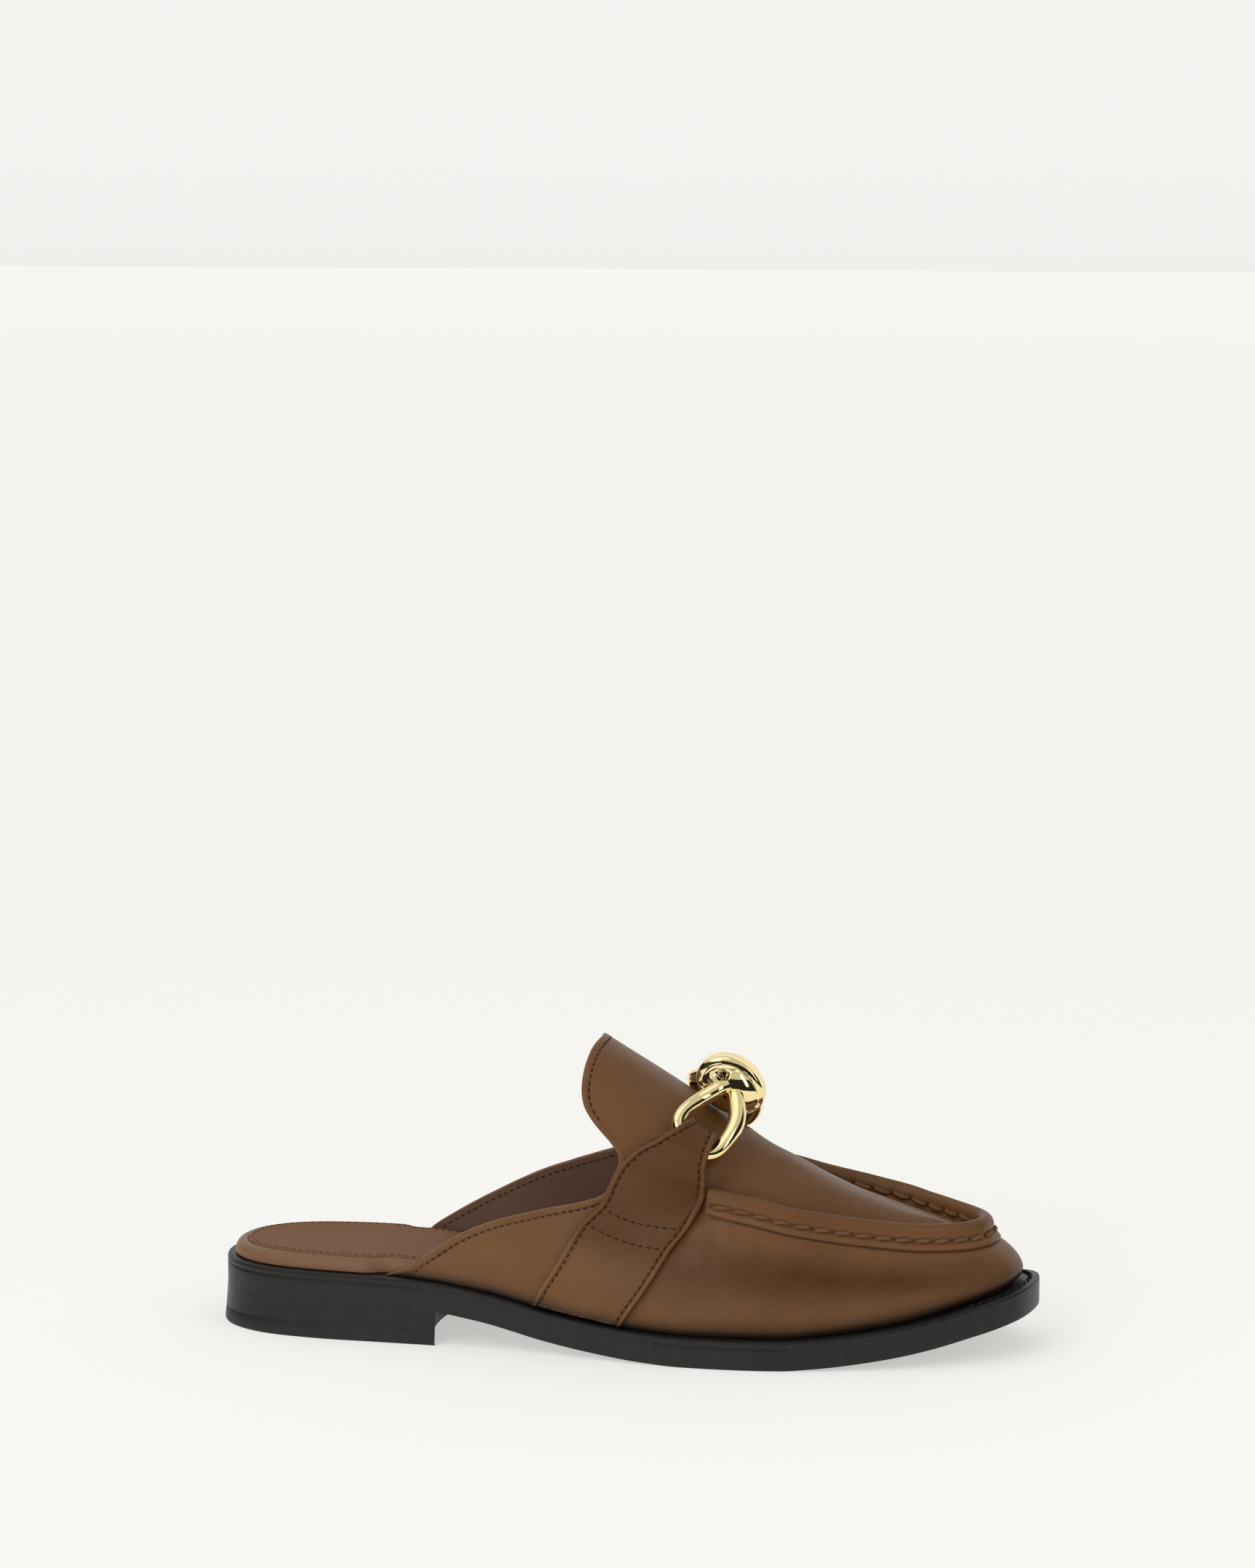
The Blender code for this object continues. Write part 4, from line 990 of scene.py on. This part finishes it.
def strap_sheet(side):
    """Fine middle surface of a strap: rows up the strap, columns from its rear edge to its front edge."""
    across = np.linspace(0, 1, 41)
    rows = []
    for share, lift, rear, front in STRAP_ROWS:
        x = rear + (front - rear) * across
        leaned = share - FOLD_SHEAR * (x - FRONT_STATION) * ramp(share, 2.0, 2.2)
        over_seam = 0.0022 * ramp(x, front - 0.010, front) * (share == 1.5)
        away = skin_normal(x, leaned, side, 0.0) * (lift * STRAP_THICKNESS + over_seam)[:, None]
        rows.append(skin(x, leaned, side, 0.0, 0.0) + away)
    rows = np.array(rows)
    return np.stack([spline(rows[:, k], STRAP_STEPS) for k in range(len(across))], 1)


def strap_profile(width):
    """Distances across a strap, close together along its piped edges."""
    edge = np.array([0.0, 0.0002, 0.0005, 0.0009, 0.0013, 0.0016, 0.0018, 0.0020, 0.0023, 0.0026, 0.0031])
    middle = np.linspace(0.0040, width - 0.0040, 15)
    return np.concatenate([edge, middle, width - edge[::-1]])


def strap_mesh(name, side, hide):
    sheet = strap_sheet(side)
    travel = np.array([travelled(row) for row in sheet])
    spots = np.array([strap_profile(row[-1]) for row in travel])
    middle = np.array([at_distance(*row) for row in zip(spots, travel, sheet)])
    up, along = np.gradient(middle, axis=0), np.gradient(middle, axis=1)
    normal = unit(np.cross(along, up)) * -side
    inset = np.minimum(spots, travel[:, -1:] - spots)
    piping = 0.00075 * np.sqrt(np.clip(1 - ((inset - 0.0009) / 0.00095) ** 2, 0, 1))
    groove = 0.00022 * np.exp(-((inset - 0.0023) / 0.0004) ** 2)
    row = np.arange(len(sheet))[:, None] / STRAP_STEPS
    stepped = ramp(row, OVERLAY_FROM - 0.10, OVERLAY_FROM + 0.02)
    stepped = stepped * (1 - ramp(row, OVERLAY_TO, OVERLAY_TO + 0.5))
    height = 0.5 * STRAP_THICKNESS + OVERLAY_STEP * stepped + piping - groove
    edge_dip = np.where(inset < 1e-9, 0.5 * STRAP_THICKNESS, 0.0)
    top = middle + normal * (height - edge_dip)[..., None]
    bottom = middle - normal * (0.5 * STRAP_THICKNESS - edge_dip)[..., None]
    rise = np.maximum(middle[..., 2] - middle[0, :, 2][None, :], 0)
    # Darker toward the foot of the strap: burnish, and painted shade where the strap meets the welt; then
    # painted shade in the groove inside each piping
    shade = np.where(row < 5, 1.05 * np.exp(-((rise + 0.0004) / 0.0024) ** 1.4), 0.0)
    shade = shade + 0.24 * np.exp(-((inset - 0.0021) / 0.0003) ** 2)
    # Lighter low on the strap and deeper higher up: painted light from the low front light; lighter along the
    # piping cord
    tint = 0.32 + 0.46 * ramp(row, 2.6, 4.4) - 0.30 * np.exp(-((inset - 0.0009) / 0.0007) ** 2)
    quads = Quads()
    quads.grid(top, 0, shade, tint=tint)
    # Underside and ends slightly darker: painted shade where they face the upper, the welt and the fold
    quads.grid(bottom, 0, 0.2, flip=True)
    for k, flip in ((0, False), (len(top) - 1, True)):
        quads.grid(np.stack([top[k], bottom[k]]), 0, 0.3, flip=flip)
    made = quads.build(name, [hide], smooth_angle=62)
    surface = middle + normal * (height + 0.00005)[..., None]
    return made, surface, normal


def strap_stitches(name, surface, normal, thread, pitch, radius):
    """A row along each edge of the strap and two across it where the upper band overlaps."""
    quads = Quads()
    for column in (8, surface.shape[1] - 9):
        add_stitches(quads, surface[2:, column], normal[2:, column], pitch, radius, share=0.66, lift=-0.1)
    heights = surface[:80, surface.shape[1] // 2, 2]
    first = STRAP_STEPS * OVERLAY_FROM
    second = first + int(np.argmin(np.abs(heights[first:] - heights[first] - OVERLAY_ROWS)))
    for row in (first + 1, second):
        add_stitches(quads, surface[row, 10:-10], normal[row, 10:-10], pitch, radius, share=0.66, lift=0.0)
    return quads.build(name, [thread])


# Lines on the knot in shares of its half sizes: along the shoe, away from it, and across toward the outer side
BAND_LINE = (
    (-0.45, -0.62, 0.60), (-0.59, -0.52, 0.61), (-0.72, -0.40, 0.57), (-0.79, -0.11, 0.61), (-0.75, 0.22, 0.62),
    (-0.60, 0.50, 0.63), (-0.40, 0.70, 0.60), (-0.16, 0.80, 0.58), (0.12, 0.82, 0.56), (0.42, 0.72, 0.54),
    (0.68, 0.53, 0.50), (0.84, 0.32, 0.43), (0.92, 0.10, 0.38),
)
INNER_LINE = (
    (-0.40, -0.42, 0.81), (-0.49, -0.28, 0.82), (-0.60, -0.14, 0.79), (-0.65, 0.08, 0.76), (-0.59, 0.32, 0.74),
    (-0.45, 0.54, 0.72), (-0.28, 0.64, 0.72), (-0.08, 0.67, 0.74),
)
PETAL = (
    (0.10, -0.02), (0.26, -0.06), (0.42, 0.04), (0.58, -0.06), (0.74, -0.40), (0.86, -0.12), (0.92, 0.18),
    (0.75, 0.46), (0.42, 0.68), (0.10, 0.70), (-0.13, 0.60), (-0.14, 0.34), (-0.02, 0.12),
)
HOLLOW = (-0.33, 0.26)


def knot_axes():
    run = unit(crest(KNOT_STATION + 0.01) - crest(KNOT_STATION - 0.01))
    normal = crest_normal(KNOT_STATION)
    return crest(KNOT_STATION) + normal * (0.5 * KNOT_HEIGHT + 2 * GAP), run, normal


def inside_loop(points, loop):
    """Signed distance to a closed flat loop, positive inside."""
    loop = np.vstack([loop, loop[:1]])
    best = np.full(points.shape[:-1], 9.0)
    turns = np.zeros(points.shape[:-1], bool)
    for a, b in zip(loop[:-1], loop[1:]):
        run = b - a
        t = np.clip(((points - a) @ run) / (run @ run), 0, 1)
        best = np.minimum(best, np.linalg.norm(points - a - t[..., None] * run, axis=-1))
        crosses = (a[1] > points[..., 1]) != (b[1] > points[..., 1])
        level = a[0] + (points[..., 1] - a[1]) * run[0] / (run[1] if abs(run[1]) > 1e-9 else 1e-9)
        turns ^= crosses & (points[..., 0] < level)
    return np.where(turns, best, -best)


def knot_mesh(gold):
    """Ball of wound bands with a smooth leaf-shaped face and a hollow on each side, and a ring through each."""
    centre, run, normal = knot_axes()
    across = np.array([0.0, -1.0, 0.0])
    turns = np.linspace(0, 2 * math.pi, 241)[:-1]
    polar, round_ = np.meshgrid(np.linspace(0, math.pi, 150), turns, indexing="ij")
    ball = np.stack([np.sin(polar) * np.cos(round_), np.sin(polar) * np.sin(round_), np.cos(polar)], -1)
    half = 0.5 * np.array([KNOT_LENGTH, KNOT_HEIGHT, KNOT_WIDTH])
    mirrored = ball * np.array([1, 1, 1]) * np.where(ball[..., [2]] < 0, np.array([1, 1, -1.0]), 1.0)
    move, dark = np.zeros(polar.shape), np.zeros(polar.shape)
    for line, width, deep in ((BAND_LINE, 0.085, 0.125), (INNER_LINE, 0.065, 0.095)):
        away = near(mirrored, unit(resample(spline(line, 12), 0.02)))
        move -= deep * np.exp(-(away / width) ** 1.4)
        # Painted shade along each groove between the wound bands
        dark = np.maximum(dark, 0.6 * np.exp(-(away / 0.030) ** 2))
        move += 0.35 * deep * np.exp(-((away - 2.6 * width) / (1.6 * width)) ** 2)
    flat = mirrored[..., :2]
    leaf = inside_loop(flat, spline(PETAL, 8, True))
    facing = ramp(mirrored[..., 2], 0.0, 0.35)
    hollow = np.linalg.norm((flat - np.array(HOLLOW)) * np.array([1.0, 1.12]), axis=-1)
    sunk = np.exp(-(hollow / 0.24) ** 3) * facing
    move = move * (1 - sunk) - 0.22 * sunk
    lifted = ramp(leaf, -0.05, 0.07) * facing
    move = move * (1 - lifted) + 0.060 * lifted
    # Painted dark reflection and shade deep in the hollow, not on the raised leaf
    dark = np.maximum(dark, 0.97 * np.exp(-(hollow / 0.17) ** 4) * facing) * (1 - lifted)
    waist = 0.035 * np.exp(-(ball[..., 2] / 0.10) ** 2)
    scaled = ball * half
    points = centre + (scaled * (1 + move - waist)[..., None]) @ np.array([run, normal, across])
    quads = Quads()
    quads.grid(points, shade=dark, wrap_columns=True)
    for side in (-1, 1):
        column = 0 if side < 0 else 1
        path = []
        for k, row in enumerate(RING_ROWS):
            x, share = np.array(row[column]), np.array(row[2])
            lift = row[3] * (INNER_RING_DROP if side > 0 and k < 3 else 1.0) * 2 * WIRE_RADIUS
            path.append(skin(x, share, side) + skin_normal(x, share, side) * lift)
        reach = np.array([0.0, side * 0.22 * KNOT_WIDTH, 0.0])
        path.insert(0, centre + 0.4 * reach + run * 0.16 * KNOT_LENGTH - normal * 0.06 * KNOT_HEIGHT)
        path.append(centre + reach + run * 0.12 * KNOT_LENGTH - normal * 0.08 * KNOT_HEIGHT)
        path = resample(spline(path, 12), count=150)
        for _ in range(40):
            path[1:-1] = (path[:-2] + 2 * path[1:-1] + path[2:]) / 4
        part = np.linspace(0, 1, len(path))
        radius = WIRE_RADIUS * np.interp(part, *zip(*WIRE_SWELL))
        add_tube(quads, path, radius, 28)
    return quads.build("gold_knot", [gold], smooth_angle=80)


class LoaferLeather(bpy.types.PropertyGroup):
    light: FloatVectorProperty(name="Light tone", description="Lighter tone of the calf leather",
                               subtype="COLOR", size=3, min=0, max=1, default=(0.172, 0.077, 0.0265))
    deep: FloatVectorProperty(name="Deep tone", description="Deeper tone clouded into the leather",
                              subtype="COLOR", size=3, min=0, max=1, default=(0.070, 0.0240, 0.0032))
    # Colour for burnish at the foot of the upper and straps, and for painted shade in grooves, stitch holes and
    # along the seams
    burnish_and_shade: FloatVectorProperty(name="Burnish", description="Darkened leather by the sole and in the seams",
                                 subtype="COLOR", size=3, min=0, max=1, default=(0.012, 0.006, 0.004))
    lining: FloatVectorProperty(name="Lining", description="Colour of the leather lining",
                                subtype="COLOR", size=3, min=0, max=1, default=(0.138, 0.072, 0.043))
    footbed: FloatVectorProperty(name="Footbed", description="Colour of the footbed covering",
                                 subtype="COLOR", size=3, min=0, max=1, default=(0.205, 0.103, 0.053))
    grain: FloatProperty(name="Grain", description="Strength of the pores in the leather", min=0, max=1,
                         subtype="FACTOR", default=0.10)
    gloss: FloatProperty(name="Roughness", description="Roughness of the leather's polish", min=0.1, max=1,
                         subtype="FACTOR", default=0.42)


class LoaferSole(bpy.types.PropertyGroup):
    edge: FloatVectorProperty(name="Sole edge", description="Colour of the inked sole edge",
                              subtype="COLOR", size=3, min=0, max=1, default=(0.0082, 0.0078, 0.0070))
    rubber: FloatVectorProperty(name="Top lift", description="Colour of the rubber under the heel",
                                subtype="COLOR", size=3, min=0, max=1, default=(0.0095, 0.0095, 0.0095))
    streaks: FloatProperty(name="Brushing", description="Strength of the brushed lines on the edge",
                           subtype="FACTOR", min=0, max=1, default=0.12)


class LoaferMetal(bpy.types.PropertyGroup):
    gold: FloatVectorProperty(name="Gold", description="Colour of the polished knot and rings",
                              subtype="COLOR", size=3, min=0, max=1, default=(1.000, 0.830, 0.440))


class LoaferStitching(bpy.types.PropertyGroup):
    hand_pitch: FloatProperty(name="Apron pitch", unit="LENGTH", min=0.002, max=0.02, default=0.0066,
                              description="Distance between the hand stitches on the apron seam")
    hand_thread: FloatProperty(name="Apron thread", description="Radius of the hand-sewn thread", unit="LENGTH",
                               min=0.0002, max=0.002, default=0.00072)
    edge_pitch: FloatProperty(name="Edge pitch", unit="LENGTH", min=0.001, max=0.01, default=0.0024,
                              description="Distance between the fine stitches along the edges")
    edge_thread: FloatProperty(name="Edge thread", description="Radius of the fine thread", unit="LENGTH",
                               min=0.0001, max=0.001, default=0.00019)
    hand_colour: FloatVectorProperty(name="Apron thread colour", description="Colour of the hand-sewn thread",
                                     subtype="COLOR", size=3, min=0, max=1, default=(0.150, 0.068, 0.030))
    edge_colour: FloatVectorProperty(name="Edge thread colour", description="Colour of the fine thread",
                                     subtype="COLOR", size=3, min=0, max=1, default=(0.026, 0.0105, 0.005))


class LoaferStage(bpy.types.PropertyGroup):
    floor: FloatVectorProperty(name="Floor", description="Colour of the floor and backdrop",
                               subtype="COLOR", size=3, min=0, max=1, default=(0.913, 0.905, 0.880))
    key: FloatProperty(name="Light above", description="Strength of the broad light above", min=0, max=20,
                       default=0.35)
    fill: FloatProperty(name="Light in front", description="Strength of the broad light in front",
                        min=0, max=20, default=1.0)


class LoaferSettings(bpy.types.PropertyGroup):
    leather: PointerProperty(type=LoaferLeather, name="Leather", description="Upper, straps and footbed")
    sole: PointerProperty(type=LoaferSole, name="Sole", description="Outsole, welt and heel")
    metal: PointerProperty(type=LoaferMetal, name="Knot", description="Gold knot and rings")
    stitching: PointerProperty(type=LoaferStitching, name="Stitching", description="All rows of thread")
    stage: PointerProperty(type=LoaferStage, name="Stage", description="Floor and light")


def hide_leather(settings, name):
    tones = settings.leather
    return leather(name, tones.light, tones.deep, tones.burnish_and_shade, tones.grain, tones.gloss)


class LOAFER_OT_sole(bpy.types.Operator):
    """Outsole, welt with its stitching, heel block and top lift"""
    bl_idname = "loafer.sole"
    bl_label = "Sole and heel"

    def execute(self, context):
        settings = context.scene.loafer
        tone = tuple(settings.sole.edge)
        edge = satin_black("sole_edge_ink", tone, 0.40, settings.sole.streaks)
        welt = satin_black("welt_ink", tone, 0.42, settings.sole.streaks)
        heel = satin_black("heel_ink", tone, 0.38, settings.sole.streaks)
        rubber = satin_black("top_lift_rubber", tuple(settings.sole.rubber), 0.50, settings.sole.streaks)
        thread = thread_finish("welt_thread", (0.010, 0.010, 0.010))
        place(outsole_mesh(edge), "outsole")
        place(welt_mesh(welt), "welt")
        place(heel_mesh(heel), "heel_stack")
        place(lift_mesh(rubber), "top_lift")
        place(welt_stitches(thread, 0.0034, 0.00045), slot="welt")
        return {"FINISHED"}


class LOAFER_OT_footbed(bpy.types.Operator):
    """Cushioned footbed and the stitched sock on it"""
    bl_idname = "loafer.footbed"
    bl_label = "Footbed and sock"

    def execute(self, context):
        settings = context.scene.loafer
        tones = settings.leather
        deep = [c * 0.72 for c in tones.footbed]
        covering = leather("footbed_leather", tones.footbed, deep, tones.burnish_and_shade, tones.grain, 0.46)
        sock_tone = [c * share for c, share in zip(tones.footbed, (0.98, 0.90, 0.82))]
        lining = leather("sock_leather", sock_tone, [c * 0.8 for c in sock_tone], tones.burnish_and_shade, tones.grain,
                         gloss=0.6, polish=0.03)
        thread = thread_finish("sock_thread", [c * 0.35 for c in tones.footbed])
        place(footbed_mesh(covering), "footbed")
        place(sock_mesh(lining), "sock")
        place(sock_stitches(thread, 0.0024, 0.00015), slot="sock")
        return {"FINISHED"}


class LOAFER_OT_upper(bpy.types.Operator):
    """Quarters, vamp, raised seam, apron and tongue in one shaped skin with its lining"""
    bl_idname = "loafer.upper"
    bl_label = "Upper"

    def execute(self, context):
        settings = context.scene.loafer
        tones = settings.leather
        lining = leather("upper_lining", tones.lining, [c * 0.65 for c in tones.lining], tones.burnish_and_shade,
                         tones.grain, 0.55)
        place(upper_mesh(hide_leather(settings, "upper_calf"), lining, settings.stitching.hand_pitch), "upper")
        return {"FINISHED"}


class LOAFER_OT_stitching(bpy.types.Operator):
    """Hand stitches of the apron seam and the fine rows along the upper's edges"""
    bl_idname = "loafer.stitching"
    bl_label = "Stitching of the upper"

    def execute(self, context):
        sizes = context.scene.loafer.stitching
        thick = thread_finish("apron_thread", tuple(sizes.hand_colour))
        fine = thread_finish("edge_thread", tuple(sizes.edge_colour))
        place(apron_stitches(thick, sizes.hand_pitch, sizes.hand_thread), slot="upper")
        place(edge_stitches(fine, sizes.edge_pitch, sizes.edge_thread), slot="upper")
        return {"FINISHED"}


class LOAFER_OT_straps(bpy.types.Operator):
    """Piped straps that fold over the rings, with their rows of thread"""
    bl_idname = "loafer.straps"
    bl_label = "Straps"

    def execute(self, context):
        settings = context.scene.loafer
        sizes = settings.stitching
        for side, node in ((-1, "strap_outer"), (1, "strap_inner")):
            made, surface, normal = strap_mesh(node + "_leather", side, hide_leather(settings, node + "_calf"))
            place(made, node)
            thread = thread_finish(node + "_thread", tuple(sizes.edge_colour))
            sewn = strap_stitches(node + "_stitching", surface, normal, thread, sizes.edge_pitch * 1.04,
                                  sizes.edge_thread)
            place(sewn, slot=node)
        return {"FINISHED"}


class LOAFER_OT_knot(bpy.types.Operator):
    """Gold knot with a ring on each side"""
    bl_idname = "loafer.knot"
    bl_label = "Knot and rings"

    def execute(self, context):
        gold = polished_metal("polished_gold", tuple(context.scene.loafer.metal.gold))
        place(knot_mesh(gold), "bit")
        return {"FINISHED"}


def broad_light(name, toward, strength, spread):
    """Even light from one side, as wide as a large diffuser."""
    lamp = bpy.data.lights.new(name, "SUN")
    lamp.energy, lamp.angle = strength, math.radians(spread)
    in_scene(name, lamp).rotation_euler = Vector(toward).to_track_quat("Z", "Y").to_euler()


def photo_camera():
    """Camera at the photograph's angle, distance and framing."""
    width, height = PHOTO_SIZE
    reach = PIXELS_PER_METRE * CAMERA_DISTANCE
    turn, lift = math.radians(CAMERA_TURN), math.radians(CAMERA_LIFT)
    back = Vector((math.sin(turn) * math.cos(lift), -math.cos(turn) * math.cos(lift), math.sin(lift)))
    heading = turn + math.atan2(TARGET_PIXEL[0] - width / 2, reach)
    pitch = math.atan2(TARGET_PIXEL[1] - height / 2, reach) - lift
    level = math.cos(pitch)
    forward = Vector((-math.sin(heading) * level, math.cos(heading) * level, math.sin(pitch)))
    right = Vector((math.cos(heading), math.sin(heading), 0.0))
    up = right.cross(forward)
    data = bpy.data.cameras.new("photo_camera")
    data.sensor_fit, data.sensor_width = "AUTO", SENSOR
    data.lens = SENSOR * reach / max(width, height)
    data.clip_start, data.clip_end = 0.05, 50.0
    data.dof.use_dof = False
    holder = in_scene("photo_camera", data)
    target = Vector(CAMERA_TARGET) + Vector(SHIFT)
    turned = Matrix((right, up, -forward)).transposed().to_4x4()
    holder.matrix_world = Matrix.Translation(target + back * CAMERA_DISTANCE) @ turned
    bpy.context.scene.camera = holder


def backdrop_mesh():
    """Floor that sweeps up into a wall far behind."""
    rows = []
    profile = [(-8.0, 0.0), (12.0, 0.0)]
    profile += [(12.0 + math.sin(math.radians(a)), 1.0 - math.cos(math.radians(a))) for a in range(6, 91, 6)]
    profile.append((13.0, 9.0))
    shape = bmesh.new()
    for y, z in profile:
        rows.append([shape.verts.new((x, y, z)) for x in (-14.0, -2.0, 2.0, 14.0)])
    for number, (low, high) in enumerate(zip(rows[:-1], rows[1:])):
        for k in range(3):
            made = shape.faces.new((low[k], low[k + 1], high[k + 1], high[k]))
            made.smooth, made.material_index = True, min(number, 1)
    return from_shape("studio_floor", shape)


def dark_horizon():
    """Black curtain round the front, seen only in reflections: the dark bands in the metal."""
    shape = bmesh.new()
    turns = np.radians(np.linspace(-210, 30, 49))
    reach, heights = 1.9, (0.03, 0.65, 1.30)
    rows = [[shape.verts.new((reach * math.cos(a), reach * math.sin(a), z)) for a in turns] for z in heights]
    for low, high in zip(rows[:-1], rows[1:]):
        for k in range(len(turns) - 1):
            shape.faces.new((low[k], low[k + 1], high[k + 1], high[k]))
    curtain = from_shape("dark_curtain", shape)
    curtain.visible_camera, curtain.visible_diffuse, curtain.visible_shadow = False, False, False
    made = Finish("curtain_black")
    cloth = made.mix(made.noise(3.0), colour((0.004,) * 3), colour((0.008,) * 3))
    curtain.data.materials.append(made.shade(base_color=cloth, roughness=0.9))


def soft_box(name, at, toward, size, power):
    lamp = bpy.data.lights.new(name, "AREA")
    lamp.shape, lamp.size, lamp.size_y, lamp.energy = "RECTANGLE", size[0], size[1], power
    holder = in_scene(name, lamp)
    holder.location = at
    holder.rotation_euler = (Vector(toward) - Vector(at)).to_track_quat("-Z", "Y").to_euler()


class LOAFER_OT_stage(bpy.types.Operator):
    """Pale studio floor, soft light and the photograph's camera"""
    bl_idname = "loafer.stage"
    bl_label = "Stage"

    def execute(self, context):
        look = context.scene.loafer.stage
        floor = backdrop_mesh()
        glow, papers = 0.56, {"studio_paper": (0.48, 0.475, 0.46), "studio_wall": (0.40, 0.40, 0.40)}
        for name, matt in papers.items():
            made = Finish(name)
            pale = made.mix(made.noise(900.0, 2.0), colour([c * 0.997 for c in look.floor]), colour(look.floor))
            dull = made.add("ShaderNodeBsdfDiffuse", {}, {"Color": colour(matt)})
            lit = made.add("ShaderNodeEmission", {}, {"Color": pale, "Strength": glow})
            floor.data.materials.append(made.finish(made.add("ShaderNodeAddShader", {}, {0: dull, 1: lit})))
        world = bpy.data.worlds.new("studio_air")
        world.use_nodes = True
        air = world.node_tree.nodes["Background"].inputs
        air["Color"].default_value, air["Strength"].default_value = (1.0, 0.99, 0.97, 1.0), 0.62
        context.scene.world = world
        broad_light("light_front", (-0.40, -1.0, 0.16), look.fill, 45)
        broad_light("light_above", (-0.30, -0.10, 1.0), look.key, 55)
        soft_box("box_front", (-0.45, -1.1, 1.05), (0.0, 0.0, 0.05), (0.9, 0.5), 2.6)
        soft_box("box_right", (1.15, -0.55, 0.75), (0.03, 0.0, 0.07), (0.25, 0.8), 1.3)
        dark_horizon()
        photo_camera()
        context.scene.view_settings.view_transform = "Standard"
        return {"FINISHED"}


class LOAFER_PT_panel(bpy.types.Panel):
    """Steps that build the loafer"""
    bl_idname = "LOAFER_PT_panel"
    bl_label = "Backless loafer"
    bl_space_type = "VIEW_3D"
    bl_region_type = "UI"
    bl_category = "Loafer"

    def draw(self, context):
        for step in STEPS:
            self.layout.operator(step.bl_idname)
        for group in ("leather", "sole", "metal", "stitching", "stage"):
            box = self.layout.box()
            box.label(text=group.title())
            settings = getattr(context.scene.loafer, group)
            for name in settings.__annotations__:
                box.prop(settings, name)


STEPS = (LOAFER_OT_sole, LOAFER_OT_footbed, LOAFER_OT_upper, LOAFER_OT_stitching, LOAFER_OT_straps,
         LOAFER_OT_knot, LOAFER_OT_stage)
CLASSES = (LoaferLeather, LoaferSole, LoaferMetal, LoaferStitching, LoaferStage, LoaferSettings, *STEPS,
           LOAFER_PT_panel)


def register():
    for item in CLASSES:
        bpy.utils.register_class(item)
    bpy.types.Scene.loafer = PointerProperty(type=LoaferSettings, name="Loafer",
                                             description="Sizes and colours")


def unregister():
    del bpy.types.Scene.loafer
    for item in reversed(CLASSES):
        bpy.utils.unregister_class(item)


def main():
    register()
    bpy.ops.loafer.sole()
    bpy.ops.loafer.footbed()
    bpy.ops.loafer.upper()
    bpy.ops.loafer.stitching()
    bpy.ops.loafer.straps()
    bpy.ops.loafer.knot()
    bpy.ops.loafer.stage()


if __name__ == "__main__":
    main()
